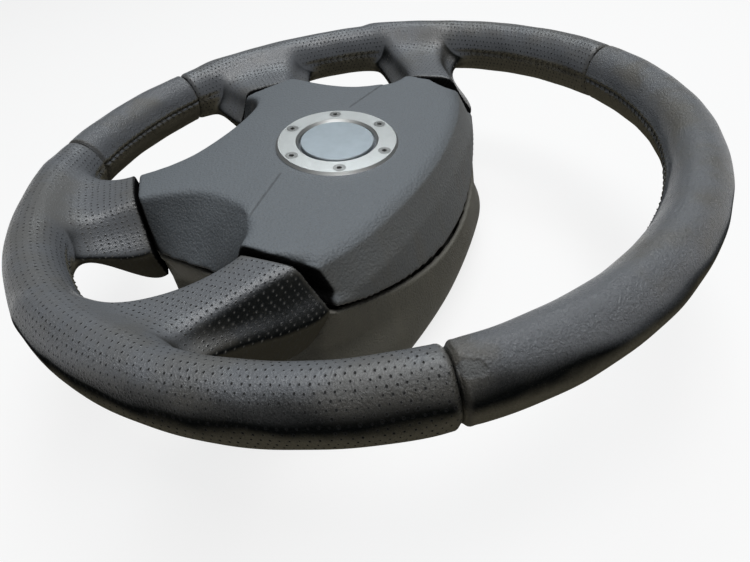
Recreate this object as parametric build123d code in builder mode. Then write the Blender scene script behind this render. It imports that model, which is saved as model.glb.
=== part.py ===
from build123d import *
import os
from math import cos, radians, sin, tan

os.makedirs("parts", exist_ok=True)

# Four-spoke car steering wheel with a floating horn pad.
# Millimetres. +Z points from the column to the driver, +Y to twelve o'clock, +X to three o'clock.
# The origin is on the steering axis, at the back of the hub, where the rear cover ends.

# Rim
RIM_DIAMETER = 370.0
RIM_HEIGHT = 95.0
GRIP_WIDTH = 26.9
GRIP_DEPTH = 33.2
TOP_SEAM_ANGLE = 39.0
BOTTOM_SEAM_ANGLE = 17.0
PANEL_GAP = 0.8

# Armature casting: rim core, spoke bars, hub plate, guide bosses
CORE_WIDTH = 10.0
CORE_DEPTH = 8.0
CORE_CLEARANCE = 0.2
BAR_WIDTH = 16.0
BAR_DEPTH = 9.0
BAR_START_RADIUS = 38.0
UPPER_BAR_ANGLE = -3.0
LOWER_BAR_ANGLE = -54.0
HUB_PLATE_RADIUS = 54.0
HUB_PLATE_BOTTOM = 18.0
HUB_PLATE_THICKNESS = 8.0

# Steel hub boss for the column shaft
BORE_DIAMETER = 17.0
BOSS_DIAMETER = 36.0
BOSS_BOTTOM = 4.0
BOSS_FLANGE_DIAMETER = 46.0
BOSS_FLANGE_THICKNESS = 3.0
PRESS_CLEARANCE = 0.02

# Spoke ends: the upper arm is square to X, the lower arm is square to a line at LOWER_ARM_ANGLE
UPPER_SEAM_X = 99.0
LOWER_SEAM_REACH = 120.5
LOWER_ARM_ANGLE = -45.0
UPPER_SEAM_GAP = 3.2
LOWER_SEAM_GAP = 2.0
UPPER_TOP = (-8.0, 22.0)
UPPER_SIDE = (-22.0, 36.5)
LOWER_TOP = (-41.0, -9.0)
LOWER_SIDE = (-53.0, 9.0)
SPOKE_END_INSET = 8.5

# Depths of the spoke and hub outlines, below the middle of the rim
FACE_RISE = 10.0
SIDE_DROP = 19.0
CROWN_DROP = 42.0
SKIRT_DROP = 46.0
COVER_MID_DROP = 52.0
COVER_LOW_HEIGHT = 15.0
COVER_TUCK = 25.0
SKIRT_FLARE = 4.0

# Spoke sections from the seam to the rim: share of the spoke's length, limits of the top, of the side
# ridges and of the bottom, heights of the two top corners, the ridges and the bottom, and corner radius
UPPER_SPOKE = (
    (0.0, UPPER_TOP, UPPER_SIDE, (-16.0, 20.0), (4.0, 4.0, -SIDE_DROP, -46.0), 6.0),
    (0.435, (-23.0, 5.0), (-38.0, 20.0), (-24.0, 8.0), (3.0, 3.0, -17.0, -40.0), 6.0),
    (0.757, (-44.0, -5.0), (-58.0, 8.0), (-46.0, 0.0), (6.0, 4.0, -11.0, -22.0), 4.0),
    (1.0, (-66.0, -10.0), (-78.0, 14.0), (-66.0, -4.0), (13.0, 12.0, -6.0, -12.0), 3.0),
)
LOWER_SPOKE = (
    (0.0, LOWER_TOP, LOWER_SIDE, (-38.0, -3.0), (5.0, 5.0, -SIDE_DROP, -45.0), 6.0),
    (0.383, (-46.0, -8.0), (-60.0, 10.0), (-46.0, -2.0), (4.5, 4.5, -17.0, -38.0), 6.0),
    (0.679, (-52.0, -4.0), (-67.0, 11.0), (-56.0, 3.0), (7.0, 5.0, -12.0, -21.0), 4.0),
    (1.0, (-58.0, 3.0), (-76.0, 20.0), (-64.0, 8.0), (13.0, 12.0, -6.0, -12.0), 3.0),
)

# Plan levels of the hub: crown, shoulder, upper arm, waist, lower arm, haunch and arch
PAD_FACE_WAIST = ((78.0, -13.0), (66.0, -42.0), (69.0, -66.0))
PAD_FACE = (41.0, (60.0, 33.5), UPPER_TOP, PAD_FACE_WAIST, LOWER_TOP, (28.0, -87.0), -84.0)
PAD_SIDE = (52.0, (60.0, 47.0), UPPER_SIDE, ((95.0, -41.0), (93.5, -60.0)), LOWER_SIDE, (24.0, -98.0), -96.0)
SKIRT_ARM = (UPPER_SIDE[0] - SKIRT_FLARE, UPPER_SIDE[1] + SKIRT_FLARE)
PAD_SKIRT = (58.5, (56.0, 52.0), SKIRT_ARM, ((96.0, -41.0), (94.5, -60.0)), LOWER_SIDE, (24.0, -98.0), -96.0)
COVER_TOP = (54.0, (60.0, 48.0), UPPER_SIDE, ((94.0, -41.0), (92.5, -60.0)), LOWER_SIDE, (24.0, -97.0), -95.0)
COVER_MID_WAIST = ((88.0, -41.0), (82.0, -60.0))
COVER_MID = (59.5, (54.0, 52.0), (-16.0, 22.0), COVER_MID_WAIST, (-41.0, -8.0), (24.0, -90.0), -87.0)
COVER_LOW_WAIST = ((72.0, -30.0), (68.0, -44.0))
COVER_LOW = (56.5, (48.0, 52.0), (-10.0, 24.0), COVER_LOW_WAIST, (-30.0, -4.0), (22.0, -74.0), -72.0)
RING_BEARINGS = (90, 48, 21, -5, -42, -65, -76, -90)

# Horn pad
PAD_WALL = 3.5
PAD_EDGE_RADIUS = 5.0
PAD_END_RADIUS = 1.5
PARTING_SPARE = 1.0
END_TOLERANCE = 0.01

# Rear cover
COVER_WALL = 3.0
COVER_END_GAP = 0.5
COVER_RING_RADIUS = 50.0
COVER_OPENING_RADIUS = 36.0
BAR_WINDOW_CLEARANCE = 2.0
POST_DIAMETER = 11.0
POST_CIRCLE_RADIUS = 42.0
POST_ANGLES = (30.0, 150.0, 270.0)
COVER_SCREW_DIAMETER = 4.0
COVER_SCREW_HEAD = 7.6
COVER_SCREW_HEAD_HEIGHT = 2.8
COVER_SCREW_RECESS = 4.0
SCREW_CLEARANCE = 0.15

# Horn mechanism
GUIDE_CIRCLE_RADIUS = 36.0
GUIDE_ANGLES = (90.0, 210.0, 330.0)
GUIDE_BOSS_DIAMETER = 15.0
BUSH_DIAMETER = 10.0
GUIDE_BOLT_DIAMETER = 6.0
GUIDE_BOLT_HEAD = 10.0
GUIDE_BOLT_HEAD_HEIGHT = 3.5
GUIDE_RUNNING_CLEARANCE = 0.05
SPRING_HEIGHT = 6.0
SPRING_WIDTH = 9.0
SPRING_THICKNESS = 0.6
SPRING_SPAN = 20.0
SPRING_HOLE = 6.6
CONTACT_POSITION = (24.0, 32.0)
CONTACT_LENGTH = 8.0
CONTACT_WIDTH = 5.0
PAD_TRAVEL = 2.5
CONTACT_SPARE = 0.3
CONTACT_TAB_HEIGHT = 2.0
CONTACT_BLADE_PROUD = 4.0
INSULATOR_MARGIN = 3.0

# Module plate, cushion and inflator inside the pad
PLATE_DROP = 40.0
PLATE_THICKNESS = 2.0
PLATE_LENGTH = 116.0
PLATE_WIDTH = 92.0
PLATE_CENTRE_Y = -4.0
PLATE_CORNER_RADIUS = 8.0
FRAME_WALL = 4.0
COVER_POST_DIAMETER = 9.0
PAD_SCREW_DIAMETER = 4.0
PAD_SCREW_HEAD = 7.5
PAD_SCREW_HEAD_HEIGHT = 2.5
PAD_SCREW_GRIP = 10.0
INFLATOR_DIAMETER = 44.0
INFLATOR_BELOW = 13.0
INFLATOR_ABOVE = 11.0
INFLATOR_FLANGE = 58.0
INFLATOR_FLANGE_THICKNESS = 2.5
INFLATOR_CLEARANCE = 0.3
RETAINER_DIAMETER = 66.0
RETAINER_THICKNESS = 2.0
STUD_DIAMETER = 4.0
STUD_CIRCLE_RADIUS = 26.0
STUD_COUNT = 4
STUD_START = 45.0
NUT_WIDTH = 6.4
NUT_HEIGHT = 3.2
CUSHION_HEIGHT = 24.0
CUSHION_CORNER_RADIUS = 6.0
CUSHION_CLEARANCE = 1.0

# Badge
BADGE_Y = -10.6
BADGE_RISE = 6.1
BADGE_TILT = 7.4
BADGE_RING_DIAMETER = 69.5
BADGE_RING_OPENING = 44.0
BADGE_RING_BEVEL = 1.4
BADGE_RING_THICKNESS = 3.0
BADGE_RING_PROUD = 1.6
BADGE_POCKET_CLEARANCE = 0.4
BADGE_DISC_DIAMETER = 41.5
BADGE_DISC_THICKNESS = 2.6
BADGE_DISC_BEVEL = 0.4
BADGE_BOSS_DIAMETER = 74.0
BADGE_BOSS_DEPTH = 8.0
BADGE_SCREW_CIRCLE = 58.5
BADGE_SCREW_COUNT = 6
BADGE_SCREW_START = 30.0
BADGE_SCREW_HEAD = 6.6
BADGE_SCREW_DIAMETER = 3.0
BADGE_SCREW_LENGTH = 8.0
BADGE_SCREW_SOCKET = 2.5

# Side view of the pad's face: plan Y and rise over the middle of the rim
FACE_PROFILE = ((70.0, -4.5), (30.0, 1.1), (BADGE_Y, BADGE_RISE), (-50.0, 9.0), (-90.0, 7.0), (-130.0, -2.0))

# Values worked out from the sizes above
RIM_RADIUS = (RIM_DIAMETER - GRIP_WIDTH) / 2
HUB_PLATE_TOP = HUB_PLATE_BOTTOM + HUB_PLATE_THICKNESS
PLATE_BOTTOM = RIM_HEIGHT - PLATE_DROP
PLATE_TOP = PLATE_BOTTOM + PLATE_THICKNESS
GUIDE_BOSS_TOP = PLATE_BOTTOM - SPRING_HEIGHT
PAD_SEAM_X = UPPER_SEAM_X - UPPER_SEAM_GAP / 2
SPOKE_SEAM_X = UPPER_SEAM_X + UPPER_SEAM_GAP / 2
PAD_SEAM_REACH = LOWER_SEAM_REACH - LOWER_SEAM_GAP / 2
SPOKE_SEAM_REACH = LOWER_SEAM_REACH + LOWER_SEAM_GAP / 2
BADGE_PLANE = Plane(
    origin=(0, BADGE_Y, RIM_HEIGHT + BADGE_RISE),
    x_dir=(1, 0, 0),
    z_dir=(0, sin(radians(BADGE_TILT)), cos(radians(BADGE_TILT))),
)


def on_lower_arm(reach, side):
    """Plan point at a distance along the lower arm's line and a distance to its three o'clock side."""
    along = (cos(radians(LOWER_ARM_ANGLE)), sin(radians(LOWER_ARM_ANGLE)))
    return (reach * along[0] - side * along[1], reach * along[1] + side * along[0])


def on_lower_arm_reach(point):
    """Distance of a point along the line of the lower arm on its side of the wheel."""
    return abs(point.X) * cos(radians(LOWER_ARM_ANGLE)) + point.Y * sin(radians(LOWER_ARM_ANGLE))


def hub_outline(height, crown, shoulder, end_x, upper, waist, reach, lower, haunch, arch):
    """Plan outline of the hub with its four arms at a height, drawn as its right half and mirrored."""
    with BuildSketch(Plane.XY.offset(height)) as outline:
        with BuildLine():
            top = TangentArc((0, crown), shoulder, tangent=(1, 0))
            corner = TangentArc(top @ 1, (end_x, upper[1]), tangent=top % 1)
            end = Line(corner @ 1, (end_x, upper[0]))
            side = Spline(end @ 1, *waist, on_lower_arm(reach, lower[1]))
            lower_end = Line(side @ 1, on_lower_arm(reach, lower[0]))
            inner = TangentArc((0, arch), haunch, tangent=(1, 0))
            TangentArc(inner @ 1, lower_end @ 1, tangent=inner % 1)
            mirror(about=Plane.YZ)
        make_face()
    return outline.sketch


def grown(span, amount):
    """A span of two limits made wider by an amount at each end."""
    return (span[0] - amount, span[1] + amount)


def arm_outline(height, end_x, reach, shape, inset):
    """Hub outline from a level's crown, shoulder, arms, waist, haunch and arch, all moved in by an inset."""
    crown, shoulder, upper, waist, lower, haunch, arch = shape
    return hub_outline(
        height,
        crown - inset,
        (shoulder[0] - inset, shoulder[1] - inset),
        end_x - inset,
        grown(upper, -inset),
        [(x - inset, y) for x, y in waist],
        reach - inset,
        grown(lower, -inset),
        (haunch[0] - inset, haunch[1] + inset),
        arch + inset,
    )


def pad_levels(inset=0.0):
    """Plan outlines of the horn pad at its face, at the arms' parting height and at the skirt's foot."""
    heights = (RIM_HEIGHT + FACE_RISE, RIM_HEIGHT - SIDE_DROP, RIM_HEIGHT - SKIRT_DROP)
    return [
        arm_outline(height, PAD_SEAM_X, PAD_SEAM_REACH, shape, inset)
        for height, shape in zip(heights, (PAD_FACE, PAD_SIDE, PAD_SKIRT))
    ]


def cover_levels(inset=0.0, floor=0.0):
    """Plan outlines of the rear cover near the parting line, half way down, low down and at its ring."""
    end_x = SPOKE_SEAM_X - COVER_END_GAP
    reach = SPOKE_SEAM_REACH - COVER_END_GAP
    return [
        arm_outline(RIM_HEIGHT - SIDE_DROP, end_x, reach, COVER_TOP, inset),
        arm_outline(RIM_HEIGHT - COVER_MID_DROP, end_x, reach, COVER_MID, inset),
        arm_outline(COVER_LOW_HEIGHT, end_x - COVER_TUCK, reach - COVER_TUCK, COVER_LOW, inset),
        ring_outline(floor, COVER_RING_RADIUS - inset),
    ]


def ring_outline(height, radius):
    """Circle cut at the bearings of the hub outline's corners, so that it lofts to that outline."""
    with BuildSketch(Plane.XY.offset(height)) as outline:
        with BuildLine():
            for start, stop in zip(RING_BEARINGS, RING_BEARINGS[1:]):
                CenterArc((0, 0), radius, start, stop - start)
            mirror(about=Plane.YZ)
        make_face()
    return outline.sketch


def face_profile(drop):
    """Side view of the pad's crowned face, closed far below it, at the left of the wheel."""
    with BuildSketch(Plane.YZ.offset(-RIM_DIAMETER / 2)) as profile:
        with BuildLine():
            face = Spline(*[(y, RIM_HEIGHT + rise - drop) for y, rise in FACE_PROFILE])
            Polyline(face @ 1, (FACE_PROFILE[-1][0], 0), (FACE_PROFILE[0][0], 0), face @ 0)
        make_face()
    return profile.sketch


def at_arm_end(edge):
    """Whether an edge of the pad lies on the end of one of its four arms, in the upper half of that end."""
    points = [edge @ share for share in (0, 0.5, 1)]
    reaches = [on_lower_arm_reach(point) for point in points]
    on_upper = all(abs(abs(point.X) - PAD_SEAM_X) < END_TOLERANCE for point in points)
    on_lower = all(abs(reach - PAD_SEAM_REACH) < END_TOLERANCE for reach in reaches)
    return (on_upper or on_lower) and min(point.Z for point in points) > RIM_HEIGHT - SIDE_DROP / 2


def space_above_parting(lower_by):
    """Space above the parting line: flat on the six o'clock half, dipping on the twelve o'clock half."""
    top = 2 * RIM_HEIGHT
    side = RIM_HEIGHT - SIDE_DROP - lower_by
    with BuildPart() as space:
        with BuildSketch(Plane.XZ):
            with BuildLine():
                crown = (0, RIM_HEIGHT - CROWN_DROP - lower_by)
                arc = ThreePointArc((-UPPER_SEAM_X, side), crown, (UPPER_SEAM_X, side))
                Polyline(
                    arc @ 1,
                    (RIM_DIAMETER, side),
                    (RIM_DIAMETER, top),
                    (-RIM_DIAMETER, top),
                    (-RIM_DIAMETER, side),
                    arc @ 0,
                )
            make_face()
        extrude(amount=-RIM_DIAMETER)
        with BuildSketch(Plane.XY.offset(side)):
            Rectangle(2 * RIM_DIAMETER, RIM_DIAMETER, align=(Align.CENTER, Align.MAX))
        extrude(amount=top - side)
    return space.part


def armature_core(clearance):
    """Rim core and spoke bars of the casting, grown by a clearance where they are cut from another piece."""
    hub_middle = HUB_PLATE_BOTTOM + HUB_PLATE_THICKNESS / 2
    half_depth = BAR_DEPTH / 2 + clearance
    with BuildPart() as core:
        with BuildSketch(Plane.XZ):
            with Locations((RIM_RADIUS, RIM_HEIGHT)):
                Rectangle(CORE_WIDTH + 2 * clearance, CORE_DEPTH + 2 * clearance)
        revolve(axis=Axis.Z)
        for angle in (UPPER_BAR_ANGLE, 180 - UPPER_BAR_ANGLE, LOWER_BAR_ANGLE, 180 - LOWER_BAR_ANGLE):
            with BuildSketch(Plane.XZ.rotated((0, 0, angle))):
                with BuildLine():
                    Polyline(
                        (BAR_START_RADIUS, hub_middle - half_depth),
                        (RIM_RADIUS, RIM_HEIGHT - half_depth),
                        (RIM_RADIUS, RIM_HEIGHT + half_depth),
                        (BAR_START_RADIUS, hub_middle + half_depth),
                        close=True,
                    )
                make_face()
            extrude(amount=BAR_WIDTH / 2 + clearance, both=True)
    return core.part


def spoke_section(plane, top, side, bottom, heights, corner):
    """Six-sided section of a wrapped spoke, widest at its side ridges, with rounded corners."""
    low_top, high_top, side_height, bottom_height = (RIM_HEIGHT + height for height in heights)
    with BuildSketch(plane) as section:
        with BuildLine():
            Polyline(
                (top[0], low_top),
                (top[1], high_top),
                (side[1], side_height),
                (bottom[1], bottom_height),
                (bottom[0], bottom_height),
                (side[0], side_height),
                close=True,
            )
        make_face()
        fillet(section.vertices(), radius=corner)
    return section.sketch


# Armature: one casting with the rim core, four spoke bars and the hub plate with its guide bosses
with BuildPart() as armature:
    add(armature_core(0))
    with BuildSketch(Plane.XY.offset(HUB_PLATE_BOTTOM)):
        Circle(HUB_PLATE_RADIUS)
    extrude(amount=HUB_PLATE_THICKNESS)
    with BuildSketch(Plane.XY.offset(HUB_PLATE_BOTTOM)):
        for angle in GUIDE_ANGLES:
            with PolarLocations(GUIDE_CIRCLE_RADIUS, 1, angle):
                Circle(GUIDE_BOSS_DIAMETER / 2)
    extrude(amount=GUIDE_BOSS_TOP - HUB_PLATE_BOTTOM)
    with BuildSketch(Plane.XY):
        for angle in GUIDE_ANGLES:
            with PolarLocations(GUIDE_CIRCLE_RADIUS, 1, angle):
                Circle(BUSH_DIAMETER / 2 + PRESS_CLEARANCE)
        for angle in POST_ANGLES:
            with PolarLocations(POST_CIRCLE_RADIUS, 1, angle):
                Circle(COVER_SCREW_DIAMETER / 2 + SCREW_CLEARANCE)
        Circle(BOSS_DIAMETER / 2 + PRESS_CLEARANCE)
    extrude(amount=RIM_HEIGHT, mode=Mode.SUBTRACT)
armature.part.label = "armature"
export_step(armature.part, "parts/armature.step")

# Hub boss: turned steel sleeve with a flange under the hub plate
with BuildPart() as hub_boss:
    with BuildSketch(Plane.XY.offset(BOSS_BOTTOM)):
        Circle(BOSS_DIAMETER / 2)
    extrude(amount=HUB_PLATE_TOP - BOSS_BOTTOM)
    with BuildSketch(Plane.XY.offset(HUB_PLATE_BOTTOM)):
        Circle(BOSS_FLANGE_DIAMETER / 2)
    extrude(amount=-BOSS_FLANGE_THICKNESS)
    with BuildSketch(Plane.XY):
        Circle(BORE_DIAMETER / 2)
    extrude(amount=RIM_HEIGHT, mode=Mode.SUBTRACT)
hub_boss.part.label = "hub_boss"
export_step(hub_boss.part, "parts/hub_boss.step")

def spoke_loft(sections, angle, seam_reach):
    """Wrapped spoke from its seam into the rim, along a line at an angle from three o'clock."""
    along = (cos(radians(angle)), sin(radians(angle)))
    length = RIM_RADIUS - SPOKE_END_INSET - seam_reach
    outlines = []
    for share, top, side, bottom, heights, corner in sections:
        reach = seam_reach + share * length
        plane = Plane(
            origin=(reach * along[0], reach * along[1], 0),
            x_dir=(-along[1], along[0], 0),
            z_dir=(along[0], along[1], 0),
        )
        outlines.append(spoke_section(plane, top, side, bottom, heights, corner))
    with BuildPart() as spoke:
        loft(outlines)
        mirror(about=Plane.YZ)
    return spoke.part


# Wrapped rim and spokes, cut into its four sewn panels at the seams
upper_spokes = spoke_loft(UPPER_SPOKE, 0, SPOKE_SEAM_X)
lower_spokes = spoke_loft(LOWER_SPOKE, LOWER_ARM_ANGLE, SPOKE_SEAM_REACH)
core_channel = armature_core(CORE_CLEARANCE)

with BuildPart() as grip:
    with BuildSketch(Plane.XZ):
        with Locations((RIM_RADIUS, RIM_HEIGHT)):
            Ellipse(GRIP_WIDTH / 2, GRIP_DEPTH / 2)
    revolve(axis=Axis.Z)
    add(upper_spokes)
    add(lower_spokes)
    add(core_channel, mode=Mode.SUBTRACT)
    for angle in (TOP_SEAM_ANGLE, 180 - TOP_SEAM_ANGLE, -90 + BOTTOM_SEAM_ANGLE, -90 - BOTTOM_SEAM_ANGLE):
        with BuildSketch(Plane.XY.rotated((0, 0, angle))):
            with Locations((RIM_RADIUS, 0)):
                Rectangle(2 * GRIP_WIDTH, PANEL_GAP)
        extrude(amount=2 * RIM_HEIGHT, mode=Mode.SUBTRACT)
panels = grip.part.solids().sort_by(Axis.Y)

with BuildPart() as smooth_grips:
    add(panels[0])
    add(panels[-1])
smooth_grips.part.label = "smooth_grips"
export_step(smooth_grips.part, "parts/smooth_grips.step")

with BuildPart() as perforated_grips:
    add(panels[1:-1])
perforated_grips.part.label = "perforated_grips"
export_step(perforated_grips.part, "parts/perforated_grips.step")

# Horn pad cover: soft moulded shell with a frame wall and screw posts that stand on the module plate
with BuildPart() as pad_cavity:
    loft(pad_levels(PAD_WALL), ruled=True)
    extrude(face_profile(PAD_WALL), amount=RIM_DIAMETER, mode=Mode.INTERSECT)

SCREW_POST_X = PLATE_LENGTH / 2 - COVER_POST_DIAMETER / 2
SCREW_POST_Y = PLATE_WIDTH / 2 - COVER_POST_DIAMETER / 2
SCREW_POSTS = [
    (side * SCREW_POST_X, PLATE_CENTRE_Y + row * SCREW_POST_Y) for side in (-1, 1) for row in (-1, 1)
]

with BuildPart() as pad_frame:
    with BuildSketch(Plane.XY.offset(PLATE_TOP)):
        with Locations((0, PLATE_CENTRE_Y)):
            RectangleRounded(PLATE_LENGTH, PLATE_WIDTH, PLATE_CORNER_RADIUS)
            RectangleRounded(
                PLATE_LENGTH - 2 * FRAME_WALL,
                PLATE_WIDTH - 2 * FRAME_WALL,
                PLATE_CORNER_RADIUS - FRAME_WALL,
                mode=Mode.SUBTRACT,
            )
        with Locations(*SCREW_POSTS):
            Circle(COVER_POST_DIAMETER / 2)
    extrude(amount=RIM_HEIGHT)
    with BuildSketch(BADGE_PLANE.offset(BADGE_RING_PROUD - BADGE_RING_THICKNESS)):
        Circle(BADGE_BOSS_DIAMETER / 2)
    extrude(amount=-BADGE_BOSS_DEPTH)
    add(pad_cavity.part, mode=Mode.INTERSECT)
    with BuildSketch(Plane.XY.offset(PLATE_TOP)):
        with Locations(*SCREW_POSTS):
            Circle(PAD_SCREW_DIAMETER / 2 + SCREW_CLEARANCE)
    extrude(amount=PAD_SCREW_GRIP, mode=Mode.SUBTRACT)

above_parting = space_above_parting(0)

with BuildPart() as pad_cover:
    loft(pad_levels(), ruled=True)
    extrude(face_profile(0), amount=RIM_DIAMETER, mode=Mode.INTERSECT)
    face_edges = pad_cover.faces().sort_by(Axis.Z)[-1].edges()
    fillet([edge for edge in face_edges if not at_arm_end(edge)], radius=PAD_EDGE_RADIUS)
    fillet(pad_cover.edges().filter_by(at_arm_end), radius=PAD_END_RADIUS)
    add(pad_cavity.part, mode=Mode.SUBTRACT)
    add(above_parting, mode=Mode.INTERSECT)
    add(pad_frame.part)
    with BuildSketch(BADGE_PLANE.offset(BADGE_RING_PROUD - BADGE_RING_THICKNESS)):
        Circle(BADGE_RING_DIAMETER / 2 + BADGE_POCKET_CLEARANCE)
    extrude(amount=RIM_HEIGHT, mode=Mode.SUBTRACT)
    with BuildSketch(BADGE_PLANE.offset(BADGE_RING_PROUD)):
        with PolarLocations(BADGE_SCREW_CIRCLE / 2, BADGE_SCREW_COUNT, BADGE_SCREW_START):
            Circle(BADGE_SCREW_DIAMETER / 2 + SCREW_CLEARANCE)
    extrude(amount=-BADGE_SCREW_LENGTH, mode=Mode.SUBTRACT)
pad_cover.part.label = "pad_cover"
export_step(pad_cover.part, "parts/pad_cover.step")

# Badge: bevelled ring with six countersunk holes, a plain disc in its opening, and the screws
RING_TOP = BADGE_PLANE.offset(BADGE_RING_PROUD)
RING_SEAT = BADGE_PLANE.offset(BADGE_RING_PROUD - BADGE_RING_THICKNESS)
HEAD_DEPTH = (BADGE_SCREW_HEAD - BADGE_SCREW_DIAMETER) / 2

with BuildPart(RING_TOP) as badge_ring:
    with BuildSketch(RING_SEAT):
        Circle(BADGE_RING_DIAMETER / 2)
        Circle(BADGE_RING_OPENING / 2, mode=Mode.SUBTRACT)
    extrude(amount=BADGE_RING_THICKNESS)
    rims = badge_ring.faces().sort_by(Axis.Z)[-1].edges().sort_by(SortBy.RADIUS)
    chamfer(rims, length=BADGE_RING_BEVEL)
    with PolarLocations(BADGE_SCREW_CIRCLE / 2, BADGE_SCREW_COUNT, BADGE_SCREW_START):
        CounterSinkHole(
            radius=BADGE_SCREW_DIAMETER / 2 + SCREW_CLEARANCE,
            counter_sink_radius=BADGE_SCREW_HEAD / 2 + SCREW_CLEARANCE,
            counter_sink_angle=90,
        )
badge_ring.part.label = "badge_ring"
export_step(badge_ring.part, "parts/badge_ring.step")

with BuildPart() as badge_disc:
    with BuildSketch(RING_SEAT):
        Circle(BADGE_DISC_DIAMETER / 2)
    extrude(amount=BADGE_DISC_THICKNESS)
    chamfer(badge_disc.faces().sort_by(Axis.Z)[-1].edges(), length=BADGE_DISC_BEVEL)
badge_disc.part.label = "badge_disc"
export_step(badge_disc.part, "parts/badge_disc.step")

with BuildPart(RING_TOP) as badge_screws:
    with PolarLocations(BADGE_SCREW_CIRCLE / 2, BADGE_SCREW_COUNT, BADGE_SCREW_START):
        Cylinder(BADGE_SCREW_DIAMETER / 2, BADGE_SCREW_LENGTH, align=(Align.CENTER, Align.CENTER, Align.MAX))
        Cone(
            BADGE_SCREW_DIAMETER / 2,
            BADGE_SCREW_HEAD / 2,
            HEAD_DEPTH,
            align=(Align.CENTER, Align.CENTER, Align.MAX),
        )
    with BuildSketch(RING_TOP):
        with PolarLocations(BADGE_SCREW_CIRCLE / 2, BADGE_SCREW_COUNT, BADGE_SCREW_START):
            RegularPolygon(BADGE_SCREW_SOCKET / 2, 6, major_radius=False)
    extrude(amount=-HEAD_DEPTH, mode=Mode.SUBTRACT)
badge_screws.part.label = "badge_screws"
export_step(badge_screws.part, "parts/badge_screws.step")

# Rear cover: moulded bowl with four arms, a ring floor round the column and posts under the hub plate
with BuildPart() as cover_cavity:
    loft(cover_levels(COVER_WALL, COVER_WALL))

gap_above_cover = space_above_parting(PAD_TRAVEL + PARTING_SPARE)
lower_arm_x, lower_arm_y = on_lower_arm(SPOKE_SEAM_REACH - COVER_END_GAP, 0)
cover_end_x = SPOKE_SEAM_X - COVER_END_GAP
corner_y = lower_arm_y + (cover_end_x - lower_arm_x) / tan(radians(-LOWER_ARM_ANGLE))
apex_y = lower_arm_y - lower_arm_x / tan(radians(-LOWER_ARM_ANGLE))
bar_windows = armature_core(BAR_WINDOW_CLEARANCE)

with BuildPart() as rear_cover:
    loft(cover_levels())
    with BuildSketch(Plane.XY):
        with BuildLine():
            Polyline((0, RIM_RADIUS), (cover_end_x, RIM_RADIUS), (cover_end_x, corner_y), (0, apex_y))
            mirror(about=Plane.YZ)
        make_face()
    extrude(amount=RIM_HEIGHT, mode=Mode.INTERSECT)
    add(cover_cavity.part, mode=Mode.SUBTRACT)
    add(gap_above_cover, mode=Mode.SUBTRACT)
    add(bar_windows, mode=Mode.SUBTRACT)
    with BuildSketch(Plane.XY):
        for angle in POST_ANGLES:
            with PolarLocations(POST_CIRCLE_RADIUS, 1, angle):
                Circle(POST_DIAMETER / 2)
    extrude(amount=HUB_PLATE_BOTTOM)
    with BuildSketch(Plane.XY):
        Circle(COVER_OPENING_RADIUS)
        for angle in POST_ANGLES:
            with PolarLocations(POST_CIRCLE_RADIUS, 1, angle):
                Circle(COVER_SCREW_DIAMETER / 2 + SCREW_CLEARANCE)
    extrude(amount=HUB_PLATE_BOTTOM, mode=Mode.SUBTRACT)
    with BuildSketch(Plane.XY):
        for angle in POST_ANGLES:
            with PolarLocations(POST_CIRCLE_RADIUS, 1, angle):
                Circle(COVER_SCREW_HEAD / 2 + SCREW_CLEARANCE)
    extrude(amount=COVER_SCREW_RECESS, mode=Mode.SUBTRACT)
rear_cover.part.label = "rear_cover"
export_step(rear_cover.part, "parts/rear_cover.step")

with BuildPart() as cover_screws:
    with BuildSketch(Plane.XY.offset(COVER_SCREW_RECESS)):
        for angle in POST_ANGLES:
            with PolarLocations(POST_CIRCLE_RADIUS, 1, angle):
                RegularPolygon(COVER_SCREW_HEAD / 2, 6)
    extrude(amount=-COVER_SCREW_HEAD_HEIGHT)
    with BuildSketch(Plane.XY.offset(COVER_SCREW_RECESS)):
        for angle in POST_ANGLES:
            with PolarLocations(POST_CIRCLE_RADIUS, 1, angle):
                Circle(COVER_SCREW_DIAMETER / 2)
    extrude(amount=HUB_PLATE_TOP - COVER_SCREW_RECESS)
cover_screws.part.label = "cover_screws"
export_step(cover_screws.part, "parts/cover_screws.step")

# Guide bushes: plastic sleeves pressed into the armature's bosses
with BuildPart() as guide_bushes:
    with BuildSketch(Plane.XY.offset(HUB_PLATE_BOTTOM)):
        for angle in GUIDE_ANGLES:
            with PolarLocations(GUIDE_CIRCLE_RADIUS, 1, angle):
                Circle(BUSH_DIAMETER / 2)
    extrude(amount=GUIDE_BOSS_TOP - HUB_PLATE_BOTTOM)
    with BuildSketch(Plane.XY):
        for angle in GUIDE_ANGLES:
            with PolarLocations(GUIDE_CIRCLE_RADIUS, 1, angle):
                Circle(GUIDE_BOLT_DIAMETER / 2 + GUIDE_RUNNING_CLEARANCE)
    extrude(amount=RIM_HEIGHT, mode=Mode.SUBTRACT)
guide_bushes.part.label = "guide_bushes"
export_step(guide_bushes.part, "parts/guide_bushes.step")

# Guide bolts: shoulder bolts hung from the module plate, with their heads against the bushes at rest
with BuildPart() as guide_bolts:
    with BuildSketch(Plane.XY.offset(HUB_PLATE_BOTTOM)):
        for angle in GUIDE_ANGLES:
            with PolarLocations(GUIDE_CIRCLE_RADIUS, 1, angle):
                RegularPolygon(GUIDE_BOLT_HEAD / 2, 6, major_radius=False)
    extrude(amount=-GUIDE_BOLT_HEAD_HEIGHT)
    with BuildSketch(Plane.XY.offset(HUB_PLATE_BOTTOM)):
        for angle in GUIDE_ANGLES:
            with PolarLocations(GUIDE_CIRCLE_RADIUS, 1, angle):
                Circle(GUIDE_BOLT_DIAMETER / 2)
    extrude(amount=PLATE_TOP - HUB_PLATE_BOTTOM)
guide_bolts.part.label = "guide_bolts"
export_step(guide_bolts.part, "parts/guide_bolts.step")

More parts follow.
